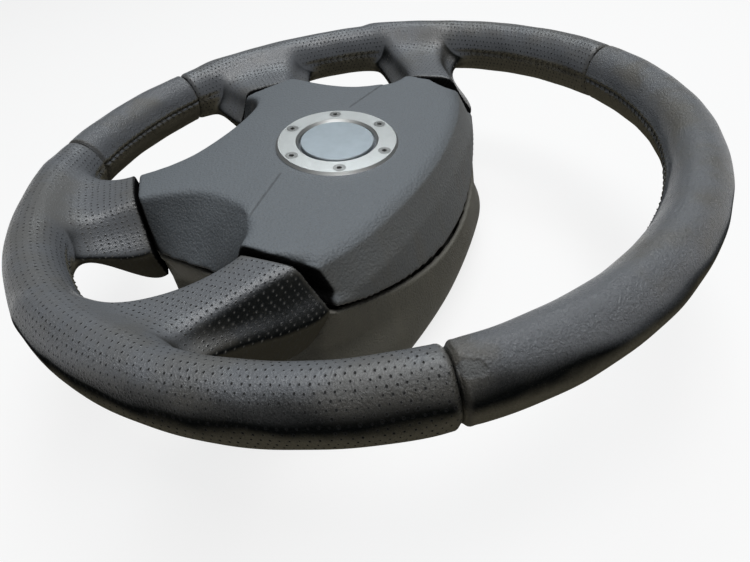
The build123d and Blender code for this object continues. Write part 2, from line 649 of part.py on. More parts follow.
# Horn return springs: bowed leaf strips between the guide bosses and the module plate
with BuildPart() as horn_springs:
    for angle in GUIDE_ANGLES:
        radial = Plane.XY.rotated((0, 0, angle))
        strip_plane = Plane(
            origin=GUIDE_CIRCLE_RADIUS * radial.x_dir + Vector(0, 0, GUIDE_BOSS_TOP),
            x_dir=radial.y_dir,
            z_dir=radial.x_dir,
        )
        bow = PLATE_BOTTOM - GUIDE_BOSS_TOP - SPRING_THICKNESS
        with BuildSketch(strip_plane):
            with BuildLine():
                under = ThreePointArc((-SPRING_SPAN / 2, bow), (0, 0), (SPRING_SPAN / 2, bow))
                over = ThreePointArc(
                    (-SPRING_SPAN / 2, bow + SPRING_THICKNESS),
                    (0, SPRING_THICKNESS),
                    (SPRING_SPAN / 2, bow + SPRING_THICKNESS),
                )
                Line(under @ 0, over @ 0)
                Line(under @ 1, over @ 1)
            make_face()
        extrude(amount=SPRING_WIDTH / 2, both=True)
    with BuildSketch(Plane.XY):
        for angle in GUIDE_ANGLES:
            with PolarLocations(GUIDE_CIRCLE_RADIUS, 1, angle):
                Rectangle(SPRING_HOLE, SPRING_HOLE)
    extrude(amount=RIM_HEIGHT, mode=Mode.SUBTRACT)
horn_springs.part.label = "horn_springs"
export_step(horn_springs.part, "parts/horn_springs.step")

# Horn contacts: brass blades on insulating blocks below, brass tabs under the module plate above
CONTACTS = [CONTACT_POSITION, (-CONTACT_POSITION[0], CONTACT_POSITION[1])]
CONTACT_TOP = PLATE_BOTTOM - CONTACT_TAB_HEIGHT - PAD_TRAVEL - CONTACT_SPARE
INSULATOR_TOP = CONTACT_TOP - CONTACT_BLADE_PROUD

with BuildPart() as contact_insulators:
    with BuildSketch(Plane.XY.offset(HUB_PLATE_TOP)):
        with Locations(*CONTACTS):
            Rectangle(CONTACT_LENGTH + INSULATOR_MARGIN, CONTACT_WIDTH + INSULATOR_MARGIN)
    extrude(amount=INSULATOR_TOP - HUB_PLATE_TOP)
contact_insulators.part.label = "contact_insulators"
export_step(contact_insulators.part, "parts/contact_insulators.step")

with BuildPart() as fixed_contacts:
    with BuildSketch(Plane.XY.offset(INSULATOR_TOP)):
        with Locations(*CONTACTS):
            Rectangle(CONTACT_LENGTH, CONTACT_WIDTH)
    extrude(amount=CONTACT_BLADE_PROUD)
fixed_contacts.part.label = "fixed_contacts"
export_step(fixed_contacts.part, "parts/fixed_contacts.step")

with BuildPart() as moving_contacts:
    with BuildSketch(Plane.XY.offset(PLATE_BOTTOM)):
        with Locations(*CONTACTS):
            Rectangle(CONTACT_LENGTH, CONTACT_WIDTH)
    extrude(amount=-CONTACT_TAB_HEIGHT)
moving_contacts.part.label = "moving_contacts"
export_step(moving_contacts.part, "parts/moving_contacts.step")

# Module plate: pressed steel plate that carries the pad cover, the cushion and the inflator
with BuildPart() as module_plate:
    with BuildSketch(Plane.XY.offset(PLATE_BOTTOM)):
        with Locations((0, PLATE_CENTRE_Y)):
            RectangleRounded(PLATE_LENGTH, PLATE_WIDTH, PLATE_CORNER_RADIUS)
            Circle(INFLATOR_DIAMETER / 2 + INFLATOR_CLEARANCE, mode=Mode.SUBTRACT)
            with PolarLocations(STUD_CIRCLE_RADIUS, STUD_COUNT, STUD_START):
                Circle(STUD_DIAMETER / 2 + SCREW_CLEARANCE, mode=Mode.SUBTRACT)
        with Locations(*SCREW_POSTS):
            Circle(PAD_SCREW_DIAMETER / 2 + SCREW_CLEARANCE, mode=Mode.SUBTRACT)
        for angle in GUIDE_ANGLES:
            with PolarLocations(GUIDE_CIRCLE_RADIUS, 1, angle):
                Circle(GUIDE_BOLT_DIAMETER / 2 + PRESS_CLEARANCE, mode=Mode.SUBTRACT)
    extrude(amount=PLATE_THICKNESS)
module_plate.part.label = "module_plate"
export_step(module_plate.part, "parts/module_plate.step")

with BuildPart() as pad_screws:
    with BuildSketch(Plane.XY.offset(PLATE_BOTTOM)):
        with Locations(*SCREW_POSTS):
            RegularPolygon(PAD_SCREW_HEAD / 2, 6, major_radius=False)
    extrude(amount=-PAD_SCREW_HEAD_HEIGHT)
    with BuildSketch(Plane.XY.offset(PLATE_BOTTOM)):
        with Locations(*SCREW_POSTS):
            Circle(PAD_SCREW_DIAMETER / 2)
    extrude(amount=PAD_SCREW_GRIP)
pad_screws.part.label = "pad_screws"
export_step(pad_screws.part, "parts/pad_screws.step")

# Inflator: flanged can through the module plate
with BuildPart() as inflator:
    with BuildSketch(Plane.XY.offset(PLATE_BOTTOM - INFLATOR_BELOW)):
        with Locations((0, PLATE_CENTRE_Y)):
            Circle(INFLATOR_DIAMETER / 2)
    extrude(amount=INFLATOR_BELOW + PLATE_THICKNESS + INFLATOR_ABOVE)
    with BuildSketch(Plane.XY.offset(PLATE_BOTTOM)):
        with Locations((0, PLATE_CENTRE_Y)):
            Circle(INFLATOR_FLANGE / 2)
            with PolarLocations(STUD_CIRCLE_RADIUS, STUD_COUNT, STUD_START):
                Circle(STUD_DIAMETER / 2 + SCREW_CLEARANCE, mode=Mode.SUBTRACT)
    extrude(amount=-INFLATOR_FLANGE_THICKNESS)
inflator.part.label = "inflator"
export_step(inflator.part, "parts/inflator.step")

# Retainer ring with its four studs, which clamp the cushion's mouth and carry the inflator
with BuildPart() as retainer_ring:
    with BuildSketch(Plane.XY.offset(PLATE_TOP)):
        with Locations((0, PLATE_CENTRE_Y)):
            Circle(RETAINER_DIAMETER / 2)
            Circle(INFLATOR_DIAMETER / 2 + INFLATOR_CLEARANCE, mode=Mode.SUBTRACT)
    extrude(amount=RETAINER_THICKNESS)
    with BuildSketch(Plane.XY.offset(PLATE_TOP)):
        with Locations((0, PLATE_CENTRE_Y)):
            with PolarLocations(STUD_CIRCLE_RADIUS, STUD_COUNT, STUD_START):
                Circle(STUD_DIAMETER / 2)
    extrude(amount=-(PLATE_THICKNESS + INFLATOR_FLANGE_THICKNESS + NUT_HEIGHT))
retainer_ring.part.label = "retainer_ring"
export_step(retainer_ring.part, "parts/retainer_ring.step")

with BuildPart() as module_nuts:
    with BuildSketch(Plane.XY.offset(PLATE_BOTTOM - INFLATOR_FLANGE_THICKNESS)):
        with Locations((0, PLATE_CENTRE_Y)):
            with PolarLocations(STUD_CIRCLE_RADIUS, STUD_COUNT, STUD_START):
                RegularPolygon(NUT_WIDTH / 2, 6, major_radius=False)
                Circle(STUD_DIAMETER / 2 + PRESS_CLEARANCE, mode=Mode.SUBTRACT)
    extrude(amount=-NUT_HEIGHT)
module_nuts.part.label = "module_nuts"
export_step(module_nuts.part, "parts/module_nuts.step")

# Folded cushion: soft block on the retainer, round the inflator's top
with BuildPart() as cushion:
    with BuildSketch(Plane.XY.offset(PLATE_TOP + RETAINER_THICKNESS)):
        with Locations((0, PLATE_CENTRE_Y)):
            RectangleRounded(
                PLATE_LENGTH - 2 * (COVER_POST_DIAMETER + CUSHION_CLEARANCE),
                PLATE_WIDTH - 2 * (FRAME_WALL + CUSHION_CLEARANCE),
                CUSHION_CORNER_RADIUS,
            )
    extrude(amount=CUSHION_HEIGHT)
    chamfer(cushion.faces().sort_by(Axis.Z)[-1].edges(), length=CUSHION_CORNER_RADIUS / 2)
    with BuildSketch(Plane.XY.offset(PLATE_TOP)):
        with Locations((0, PLATE_CENTRE_Y)):
            Circle(INFLATOR_DIAMETER / 2 + CUSHION_CLEARANCE)
    extrude(amount=INFLATOR_ABOVE + CUSHION_CLEARANCE, mode=Mode.SUBTRACT)
cushion.part.label = "cushion"
export_step(cushion.part, "parts/cushion.step")
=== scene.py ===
import math

import bmesh
import bpy
import numpy as np
from mathutils import Matrix, Vector
from mathutils.bvhtree import BVHTree


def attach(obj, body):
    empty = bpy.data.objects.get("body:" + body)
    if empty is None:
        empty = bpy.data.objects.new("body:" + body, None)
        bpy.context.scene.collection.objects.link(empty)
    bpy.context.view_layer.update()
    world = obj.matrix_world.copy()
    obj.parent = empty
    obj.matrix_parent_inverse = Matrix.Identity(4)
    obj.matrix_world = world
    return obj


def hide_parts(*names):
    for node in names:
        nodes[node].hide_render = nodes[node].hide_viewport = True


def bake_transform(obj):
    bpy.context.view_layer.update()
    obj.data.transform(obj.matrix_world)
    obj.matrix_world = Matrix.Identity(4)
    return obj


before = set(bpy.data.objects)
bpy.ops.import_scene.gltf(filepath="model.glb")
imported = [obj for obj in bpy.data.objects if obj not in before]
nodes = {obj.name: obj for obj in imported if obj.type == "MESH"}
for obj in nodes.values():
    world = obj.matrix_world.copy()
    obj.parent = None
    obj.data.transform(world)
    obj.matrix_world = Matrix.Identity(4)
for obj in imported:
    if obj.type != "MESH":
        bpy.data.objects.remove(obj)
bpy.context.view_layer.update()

# Dressed model of a four-spoke steering wheel. Metres, in the frame of the CAD model:
# +Z to the driver, +Y to twelve o'clock, +X to three o'clock, the hub's back at the origin.

MM = 0.001
RIM_RADIUS = 171.55 * MM
RIM_HEIGHT = 95.0 * MM
GRIP_HALF_WIDTH = 13.45 * MM
GRIP_HALF_DEPTH = 16.6 * MM
TOP_SEAM = math.radians(39.0)
BOTTOM_SEAM = math.radians(17.0)
SEAM_HALF_GAP = 0.4 * MM
SIX_O_CLOCK = -math.pi / 2
TOP_TWIST = math.radians(-1.4)
SEAM_ANGLES = (TOP_SEAM + TOP_TWIST, math.pi - TOP_SEAM + TOP_TWIST, SIX_O_CLOCK + BOTTOM_SEAM,
               SIX_O_CLOCK - BOTTOM_SEAM)
PEEL_ANGLE = TOP_SEAM + TOP_TWIST + math.radians(1.4)
PEEL_TURN = math.radians(61.0)
PEEL_HALF_LENGTH = 4.5 * MM
PEEL_HALF_WIDTH = 3.1 * MM

# Spokes: reach of their two ends, and at shares of their length the limits of the top, the side ridges and
# the bottom across the spoke, then the heights of the two top corners, the ridges and the bottom
UPPER_SEAM = 100.6 * MM
LOWER_SEAM = 121.5 * MM
LOWER_ARM = math.radians(-45.0)
SPOKE_END = RIM_RADIUS - 8.5 * MM
UPPER_SPOKE = (
    (0.0, (-8.0, 22.0), (-22.0, 36.5), (-16.0, 20.0), (4.0, 4.0, -19.0, -46.0)),
    (0.435, (-23.0, 5.0), (-38.0, 20.0), (-24.0, 8.0), (3.0, 3.0, -17.0, -40.0)),
    (0.757, (-44.0, -5.0), (-58.0, 8.0), (-46.0, 0.0), (6.0, 4.0, -11.0, -22.0)),
    (1.0, (-66.0, -10.0), (-78.0, 14.0), (-66.0, -4.0), (13.0, 12.0, -6.0, -12.0)),
)
LOWER_SPOKE = (
    (0.0, (-41.0, -9.0), (-53.0, 9.0), (-38.0, -3.0), (5.0, 5.0, -19.0, -45.0)),
    (0.383, (-46.0, -8.0), (-60.0, 10.0), (-46.0, -2.0), (4.5, 4.5, -17.0, -38.0)),
    (0.679, (-52.0, -4.0), (-67.0, 11.0), (-56.0, 3.0), (7.0, 5.0, -12.0, -21.0)),
    (1.0, (-58.0, 3.0), (-76.0, 20.0), (-64.0, 8.0), (13.0, 12.0, -6.0, -12.0)),
)
RIDGE_SOFTNESS = 2.2 * MM
FLANK_HOLLOW = 1.4 * MM
JOINT_SOFTNESS = 4.2 * MM

# Spacing of the even meshes
LEATHER_VOXEL = 1.4 * MM
PAD_VOXEL = 1.25 * MM
COVER_VOXEL = 1.3 * MM

# Horn pad: parting line, badge and its seat, the moulded step on the face, the gap at the upper arms' ends
PARTING_DROP = 19.0 * MM
CROWN_DROP = 42.0 * MM
PARTING_HALF_SPAN = 99.0 * MM
BADGE_CENTRE = np.array((0.0, -10.6, 101.1)) * MM
BADGE_TILT = math.radians(7.4)
BADGE_AXIS = np.array((0.0, math.sin(BADGE_TILT), math.cos(BADGE_TILT)))
SEAT_EDGE = (32.6 * MM, 33.6 * MM)
SEAT_DEPTH = 1.3 * MM
SEAT_REACH = 37.5 * MM
BADGE_KEPT = (36.0 * MM, 39.0 * MM)
CROWN_KEPT = (39.0 * MM, 44.0 * MM)
FACE_BAND = (37.0 * MM, 52.0 * MM)
STEP_SPAN = (39.5 * MM, 79.0 * MM)
STEP_FADE = (36.0 * MM, 40.0 * MM)
STEP_START = -23.6 * MM
STEP_SLOPE = 0.158
STEP_HEIGHT = 0.7 * MM
WEDGE_GAP = 3.0 * MM
WEDGE_SPAN = (78.0 * MM, 97.0 * MM)
WEDGE_RISE = (4.0 * MM, 24.0 * MM)
# Arm-end faces, which the pad's material darkens as painted shade
UPPER_END = (86.0 * MM, 92.0 * MM)
LOWER_END = (108.0 * MM, 114.0 * MM)
END_FACING = (0.55, 0.85)

# Rear cover: gap under the pad, fuller low part. Thin inner walls of both shells.
COVER_GAP = 3.5 * MM
COVER_FULLNESS = 0.26
COVER_FOOT = (1.0 * MM, 9.0 * MM)
COVER_WAIST = (46.0 * MM, 16.0 * MM)
THIN_WALL_Y = -92.0 * MM
THICKER_WALL = 1.8 * MM
INNER_FACING = 0.15
MERGE_DISTANCE = 0.001 * MM

# Stitching along the inner middle of the rim
STITCH_PITCH = 4.8 * MM
STITCH_REACH = 2.5 * MM
THREAD_RADIUS = 0.38 * MM

scene = bpy.context.scene


def link(obj):
    """Adds an object to the scene and gives it back."""
    scene.collection.objects.link(obj)
    return obj


def points_of(mesh):
    """A mesh's points as an array of rows."""
    co = np.zeros(len(mesh.vertices) * 3)
    mesh.vertices.foreach_get("co", co)
    return co.reshape(-1, 3)


def normals_of(mesh):
    """A mesh's point normals as an array of rows."""
    normals = np.zeros(len(mesh.vertices) * 3)
    mesh.vertex_normals.foreach_get("vector", normals)
    return normals.reshape(-1, 3)


def set_points(mesh, co):
    """Writes an array of rows back to a mesh's points."""
    mesh.vertices.foreach_set("co", np.ascontiguousarray(co).ravel())
    mesh.update()


def edges_of(mesh):
    """A mesh's edges as an array of point pairs."""
    pairs = np.zeros(len(mesh.edges) * 2, dtype=np.int32)
    mesh.edges.foreach_get("vertices", pairs)
    return pairs.reshape(-1, 2)


def neighbour_mean(values, pairs, count):
    """Mean of each point's neighbours, for one column or several."""
    columns = values.reshape(len(count), -1)
    total = np.empty_like(columns)
    for k in range(columns.shape[1]):
        total[:, k] = np.bincount(pairs[:, 0], columns[pairs[:, 1], k], len(count))
        total[:, k] += np.bincount(pairs[:, 1], columns[pairs[:, 0], k], len(count))
    return (total / count[:, None]).reshape(values.shape)


def relax(co, pairs, weight, rounds):
    """Moves each point towards the mean of its neighbours, by its weight, for a number of rounds."""
    count = np.maximum(np.bincount(pairs.ravel(), minlength=len(co)), 1)
    for _ in range(rounds):
        co = co + weight[:, None] * (neighbour_mean(co, pairs, count) - co)
    return co


def smoothstep(low, high, value):
    """0 below low, 1 above high, smooth between them."""
    t = np.clip((value - low) / (high - low), 0.0, 1.0)
    return t * t * (3.0 - 2.0 * t)


def bell(distance, width):
    """1 at no distance, falling off over a width."""
    return np.exp(-((distance / width) ** 2))


def remeshed(name, mesh, voxel):
    """An even closed mesh of a CAD node's shape, for soft forms."""
    obj = link(bpy.data.objects.new(name, mesh.copy()))
    remesh = obj.modifiers.new("even", "REMESH")
    remesh.mode = "VOXEL"
    remesh.voxel_size = voxel
    even = bpy.data.meshes.new_from_object(obj.evaluated_get(bpy.context.evaluated_depsgraph_get()))
    obj.modifiers.clear()
    obj.data = even
    even.materials.clear()
    even.shade_smooth()
    return obj


def point_values(mesh, name, values):
    """Writes one number for each point, for a material to read."""
    layer = mesh.attributes.new(name, "FLOAT", "POINT")
    layer.data.foreach_set("value", np.ascontiguousarray(values, dtype=np.float32))


def corner_map(mesh, u, v):
    """Writes a UV map in millimetres from one pair of numbers for each point."""
    corners = np.zeros(len(mesh.loops), dtype=np.int32)
    mesh.loops.foreach_get("vertex_index", corners)
    layer = mesh.uv_layers.new(name="skin")
    pairs = np.stack([u[corners], v[corners]], axis=-1) / MM
    layer.data.foreach_set("uv", np.ascontiguousarray(pairs, dtype=np.float32).ravel())


def rim_frame(co):
    """Angle round the wheel and angle round the grip, for each point."""
    radius = np.hypot(co[:, 0], co[:, 1])
    across = (radius - RIM_RADIUS) / GRIP_HALF_WIDTH
    up = (co[:, 2] - RIM_HEIGHT) / GRIP_HALF_DEPTH
    return np.arctan2(co[:, 1], co[:, 0]), np.arctan2(up, across)


def rim_point(theta, phi, proud=0.0):
    """Point on the grip's oval section at an angle round the wheel and an angle round the grip."""
    radius = RIM_RADIUS + (GRIP_HALF_WIDTH + proud) * np.cos(phi)
    height = RIM_HEIGHT + (GRIP_HALF_DEPTH + proud) * np.sin(phi)
    return np.stack([radius * np.cos(theta), radius * np.sin(theta), height], axis=-1)


GIRTH_COUNT = 720
GIRTH_STEPS = np.linspace(-math.pi, math.pi, GIRTH_COUNT + 1)
GIRTH_SLOPE = np.hypot(GRIP_HALF_WIDTH * np.sin(GIRTH_STEPS), GRIP_HALF_DEPTH * np.cos(GIRTH_STEPS))
GIRTH_LENGTH = np.concatenate(([0.0], np.cumsum((GIRTH_SLOPE[1:] + GIRTH_SLOPE[:-1]) / 2)))
GIRTH_LENGTH *= 2 * math.pi / GIRTH_COUNT
PANEL_TURNS = 192


def girth(phi):
    """Length round the grip's section from its inner middle to an angle."""
    return np.interp(phi, GIRTH_STEPS, GIRTH_LENGTH)


def inner_distance(phi):
    """Distance round the grip from its inner sewn line."""
    length = girth(np.angle(np.exp(1j * phi)))
    return np.minimum(length, GIRTH_LENGTH[-1] - length)


def seam_distance(theta):
    """Distance along the rim from the nearest sewn joint between two panels."""
    gaps = [np.abs(np.angle(np.exp(1j * (theta - seam)))) for seam in SEAM_ANGLES]
    return RIM_RADIUS * np.min(gaps, axis=0)


def peel_reach(theta, phi):
    """Distance from the middle of the peeled patch beside the right top seam, 1 along its ragged edge."""
    along = RIM_RADIUS * (theta - PEEL_ANGLE)
    around = girth(phi) - girth(PEEL_TURN)
    ragged = 0.10 * np.sin(along / (0.8 * MM)) + 0.08 * np.sin(around / (0.6 * MM) + 1.0)
    return np.hypot(along / PEEL_HALF_LENGTH, (around + 0.25 * along) / PEEL_HALF_WIDTH) + ragged


def grip_relief(theta, phi):
    """How far the wrap stands off its plain oval: it tucks in at panel ends and along the inner sewn line."""
    end = np.maximum(seam_distance(theta) - SEAM_HALF_GAP, 0.0)
    inner = inner_distance(phi)
    along = RIM_RADIUS * theta
    tuck = -1.3 * MM * bell(end, 0.9 * MM) - 0.45 * MM * bell(end, 3.5 * MM)
    roll = 0.25 * MM * bell(end - 2.2 * MM, 1.0 * MM)
    sewn = -0.7 * MM * bell(inner, 0.8 * MM) + 0.3 * MM * bell(inner - 1.8 * MM, 1.6 * MM)
    pucker = 0.16 * MM * bell(inner - 2.6 * MM, 2.2 * MM) * np.cos(2 * math.pi * along / STITCH_PITCH)
    lumps = 0.10 * MM * np.sin(along / (9.0 * MM) + 3.0 * np.sin(2 * phi))
    lumps += 0.07 * MM * np.sin(along / (4.3 * MM) + 5.0 * phi)
    edge = peel_reach(theta, phi) - 1.0
    curl = bell(edge - 0.12, 0.10) * (phi > PEEL_TURN)
    peel = -0.35 * MM * smoothstep(0.06, -0.06, edge) + 0.30 * MM * curl
    return tuck + roll + sewn + pucker + lumps + peel


def smooth_panel(name, start, stop):
    """A plain leather panel of the rim between two angles, closed at both ends."""
    start += SEAM_HALF_GAP / RIM_RADIUS
    stop -= SEAM_HALF_GAP / RIM_RADIUS
    end_steps = np.array((0.0, 0.35, 0.7, 1.1, 1.5, 2.0, 2.5, 3.1, 3.8, 4.6, 5.6)) * MM / RIM_RADIUS
    fine = np.arange(6.2, 12.0, 0.45) * MM / RIM_RADIUS
    middle = np.linspace(start + 12.6 * MM / RIM_RADIUS, stop - 6.8 * MM / RIM_RADIUS,
                         int((stop - start) * RIM_RADIUS / (1.1 * MM)))
    theta = np.concatenate((start + end_steps, start + fine, middle, stop - end_steps[::-1]))
    phi = np.linspace(-math.pi, math.pi, PANEL_TURNS + 1)[:-1]
    theta_grid, phi_grid = np.meshgrid(theta, phi, indexing="ij")
    co = rim_point(theta_grid, phi_grid, grip_relief(theta_grid, phi_grid)).reshape(-1, 3)
    rows = len(theta)
    turns = len(phi)
    faces = []
    for i in range(rows - 1):
        for j in range(turns):
            k = (j + 1) % turns
            faces.append((i * turns + j, (i + 1) * turns + j, (i + 1) * turns + k, i * turns + k))
    faces.append(tuple(range(turns)))
    faces.append(tuple(reversed(range((rows - 1) * turns, rows * turns))))
    mesh = bpy.data.meshes.new(name)
    mesh.from_pydata(co.tolist(), [], faces)
    mesh.update()
    solid = bmesh.new()
    solid.from_mesh(mesh)
    bmesh.ops.recalc_face_normals(solid, faces=solid.faces)
    solid.to_mesh(mesh)
    solid.free()
    mesh.shade_smooth()
    corner_map(mesh, RIM_RADIUS * theta_grid.ravel(), girth(phi_grid.ravel()))
    point_values(mesh, "outward", np.cos(phi_grid.ravel()))
    point_values(mesh, "edge", bell(seam_distance(theta_grid.ravel()) - 1.5 * MM, 0.9 * MM))
    point_values(mesh, "peel", smoothstep(1.04, 0.92, peel_reach(theta_grid, phi_grid).ravel()))
    return link(bpy.data.objects.new(name, mesh))


def soft_max(values, softness):
    """Largest of several rows of numbers, rounded over where two are about as large."""
    top = np.max(values, axis=0)
    return top + softness * np.log(np.sum(np.exp((values - top) / softness), axis=0))


def spoke_plan(co, lower):
    """Distance along a spoke's line and across it, for each point, the same on both sides of the wheel."""
    x = np.abs(co[:, 0])
    y = co[:, 1]
    if not lower:
        return x, y
    along = x * math.cos(LOWER_ARM) + y * math.sin(LOWER_ARM)
    return along, y * math.cos(LOWER_ARM) - x * math.sin(LOWER_ARM)


def spoke_corners(share, sections):
    """Corners of a spoke's section at a share of its length: across and height, for each point."""
    shares = [section[0] for section in sections]
    corners = []
    for _, top, side, bottom, (low_top, high_top, ridge, foot) in sections:
        corners.append(((top[0], low_top), (top[1], high_top), (side[1], ridge),
                        (bottom[1], foot), (bottom[0], foot), (side[0], ridge)))
    corners = np.array(corners) * MM
    cubics = [[np.polyfit(shares, corners[:, k, axis], 3) for axis in (0, 1)] for k in range(6)]
    return [[np.polyval(cubic, share) for cubic in pair] for pair in cubics]


def spoke_distance(co, sections, seam, lower):
    """Distance outside one spoke's wrapped form, below 0 inside it, for each point."""
    along, across = spoke_plan(co, lower)
    height = co[:, 2] - RIM_HEIGHT
    share = np.clip((along - seam) / (SPOKE_END - seam), 0.0, 1.0)
    corners = spoke_corners(share, sections)
    walls = [along - SPOKE_END]
    for k in range(6):
        start = corners[k]
        run = [b - a for a, b in zip(start, corners[(k + 1) % 6])]
        length = np.hypot(*run)
        wall = (run[0] * (height - start[1]) - run[1] * (across - start[0])) / length
        if k in (1, 5):
            part = (run[0] * (across - start[0]) + run[1] * (height - start[1])) / length ** 2
            wall = wall + FLANK_HOLLOW * np.sin(math.pi * np.clip(part, 0.0, 1.0)) ** 2
        walls.append(wall)
    return soft_max(np.array(walls), RIDGE_SOFTNESS)


def rim_distance(co):
    """Distance outside the rim's oval grip, below 0 inside it, for each point."""
    radius = np.hypot(co[:, 0], co[:, 1]) - RIM_RADIUS
    up = co[:, 2] - RIM_HEIGHT
    size = np.maximum(np.hypot(radius / GRIP_HALF_WIDTH, up / GRIP_HALF_DEPTH), 0.05)
    slope = np.hypot(radius / GRIP_HALF_WIDTH ** 2, up / GRIP_HALF_DEPTH ** 2) / size
    return (size - 1.0) / np.maximum(slope, 0.2 / GRIP_HALF_DEPTH)


def wrap_distances(co):
    """Distances outside the rim and the two spokes on a point's side of the wheel."""
    upper = spoke_distance(co, UPPER_SPOKE, UPPER_SEAM, False)
    lower = spoke_distance(co, LOWER_SPOKE, LOWER_SEAM, True)
    return np.array((rim_distance(co), upper, lower))


def wrap_distance(co):
    """Distance outside the rim and spokes, joined with soft hollows, and a point's share in the spokes."""
    near = np.exp(-np.clip(wrap_distances(co), -60 * MM, 60 * MM) / JOINT_SOFTNESS)
    total = near.sum(axis=0)
    return -JOINT_SOFTNESS * np.log(total), 1.0 - near[0] / total


def drawn_to_wrap(co, outer, rounds):
    """Moves the outer points of the wrap onto its soft form, with the sewn relief on the rim."""
    probe = 0.15 * MM
    for _ in range(rounds):
        distance, spoke = wrap_distance(co)
        theta, phi = rim_frame(co)
        relief = grip_relief(theta, phi) * (1.0 - smoothstep(0.05, 0.45, spoke))
        slope = np.zeros_like(co)
        for axis in range(3):
            step = np.zeros(3)
            step[axis] = probe
            slope[:, axis] = (wrap_distance(co + step)[0] - wrap_distance(co - step)[0]) / (2 * probe)
        steep = np.maximum(np.sum(slope ** 2, axis=1), 0.2)
        move = np.clip((relief - distance) / steep, -1.5 * MM, 1.5 * MM)
        co = co + (outer * move)[:, None] * slope
    return co


def perforated_leather():
    """The two side panels: rim and spokes in one skin, with soft hollows where a spoke runs into the rim."""
    obj = remeshed("perforated_leather", nodes["perforated_grips"].data, LEATHER_VOXEL)
    mesh = obj.data
    co = points_of(mesh)
    pairs = edges_of(mesh)
    bearing = np.arctan2(co[:, 1], np.abs(co[:, 0]))
    twist = TOP_TWIST * smoothstep(math.radians(12.0), math.radians(36.0), bearing)
    plan = (co[:, 0] + 1j * co[:, 1]) * np.exp(1j * twist)
    co[:, 0] = plan.real
    co[:, 1] = plan.imag
    distances = wrap_distances(co)
    lower = distances[2] < distances[1]
    normals = normals_of(mesh)
    sideways = normals[:, 0] * np.sign(co[:, 0])
    inward = -np.where(lower, sideways * math.cos(LOWER_ARM) + normals[:, 1] * math.sin(LOWER_ARM), sideways)
    past_end = np.where(lower, spoke_plan(co, True)[0] - LOWER_SEAM, spoke_plan(co, False)[0] - UPPER_SEAM)
    at_end = smoothstep(0.45, 0.75, inward) * (past_end < 2.0 * MM)
    outer = smoothstep(-4.5 * MM, -3.0 * MM, distances.min(axis=0)) * (1.0 - at_end)
    co = drawn_to_wrap(co, outer, 4)
    co = relax(co, pairs, 0.4 * outer, 6)
    co = drawn_to_wrap(co, outer, 3)
    co = relax(co, pairs, np.full(len(co), 0.3), 2)
    set_points(mesh, co)
    theta, phi = rim_frame(co)
    spoke = wrap_distance(co)[1]
    along, across = np.where(lower, spoke_plan(co, True), spoke_plan(co, False))
    middle = np.where(lower, -24.0 * MM, 6.0 * MM - 0.55 * (along - UPPER_SEAM))
    drop = np.maximum(RIM_HEIGHT + 4.0 * MM - co[:, 2], 0.0)
    around = across + 0.75 * drop * np.sign(across - middle)
    rim_side = spoke < 0.5
    corner_map(mesh, np.where(rim_side, RIM_RADIUS * theta, along), np.where(rim_side, girth(phi), around))
    point_values(mesh, "spoke", spoke)
    # Spoke end faces, darkened by the leather's material as painted shade
    point_values(mesh, "gap", relax(at_end[:, None], pairs, np.full(len(co), 0.5), 2)[:, 0])
    point_values(mesh, "outward", np.cos(phi) * (1.0 - smoothstep(0.2, 0.6, spoke)))
    rim_edge = bell(seam_distance(theta) - 1.5 * MM, 0.9 * MM) * (spoke < 0.5)
    point_values(mesh, "edge", np.maximum(rim_edge, bell(past_end - 0.4 * MM, 0.9 * MM) * (spoke > 0.5)))
    return obj


def parting_height(co):
    """Height of the parting line between the pad and the rear cover, for each point."""
    level = RIM_HEIGHT - PARTING_DROP
    dip = CROWN_DROP - PARTING_DROP
    bow = (PARTING_HALF_SPAN ** 2 + dip ** 2) / (2 * dip)
    x = np.minimum(np.abs(co[:, 0]), PARTING_HALF_SPAN)
    arc = level - dip + bow - np.sqrt(bow ** 2 - x ** 2)
    return np.where(co[:, 1] > 0.0, arc, level)


def step_offset(co):
    """Signed distance from the moulded step on the face, positive on its six o'clock side, and its fade."""
    x = np.abs(co[:, 0])
    line_y = STEP_START + STEP_SLOPE * (x - STEP_SPAN[0])
    reach = smoothstep(-1.5 * MM, 2.5 * MM, x - STEP_SPAN[0])
    reach *= smoothstep(3.0 * MM, -4.0 * MM, x - STEP_SPAN[1])
    return line_y - co[:, 1], reach


def thick_walled(node):
    """A copy of a shell's mesh, its inner wall moved in at the lower arms, where an even mesh would open."""
    mesh = nodes[node].data.copy()
    solid = bmesh.new()
    solid.from_mesh(mesh)
    bmesh.ops.remove_doubles(solid, verts=solid.verts, dist=MERGE_DISTANCE)
    solid.normal_update()
    for vert in solid.verts:
        if vert.co.y < THIN_WALL_Y and vert.normal.y > INNER_FACING:
            vert.co += THICKER_WALL * Vector((vert.normal.x, vert.normal.y, 0.0))
    solid.to_mesh(mesh)
    solid.free()
    return mesh


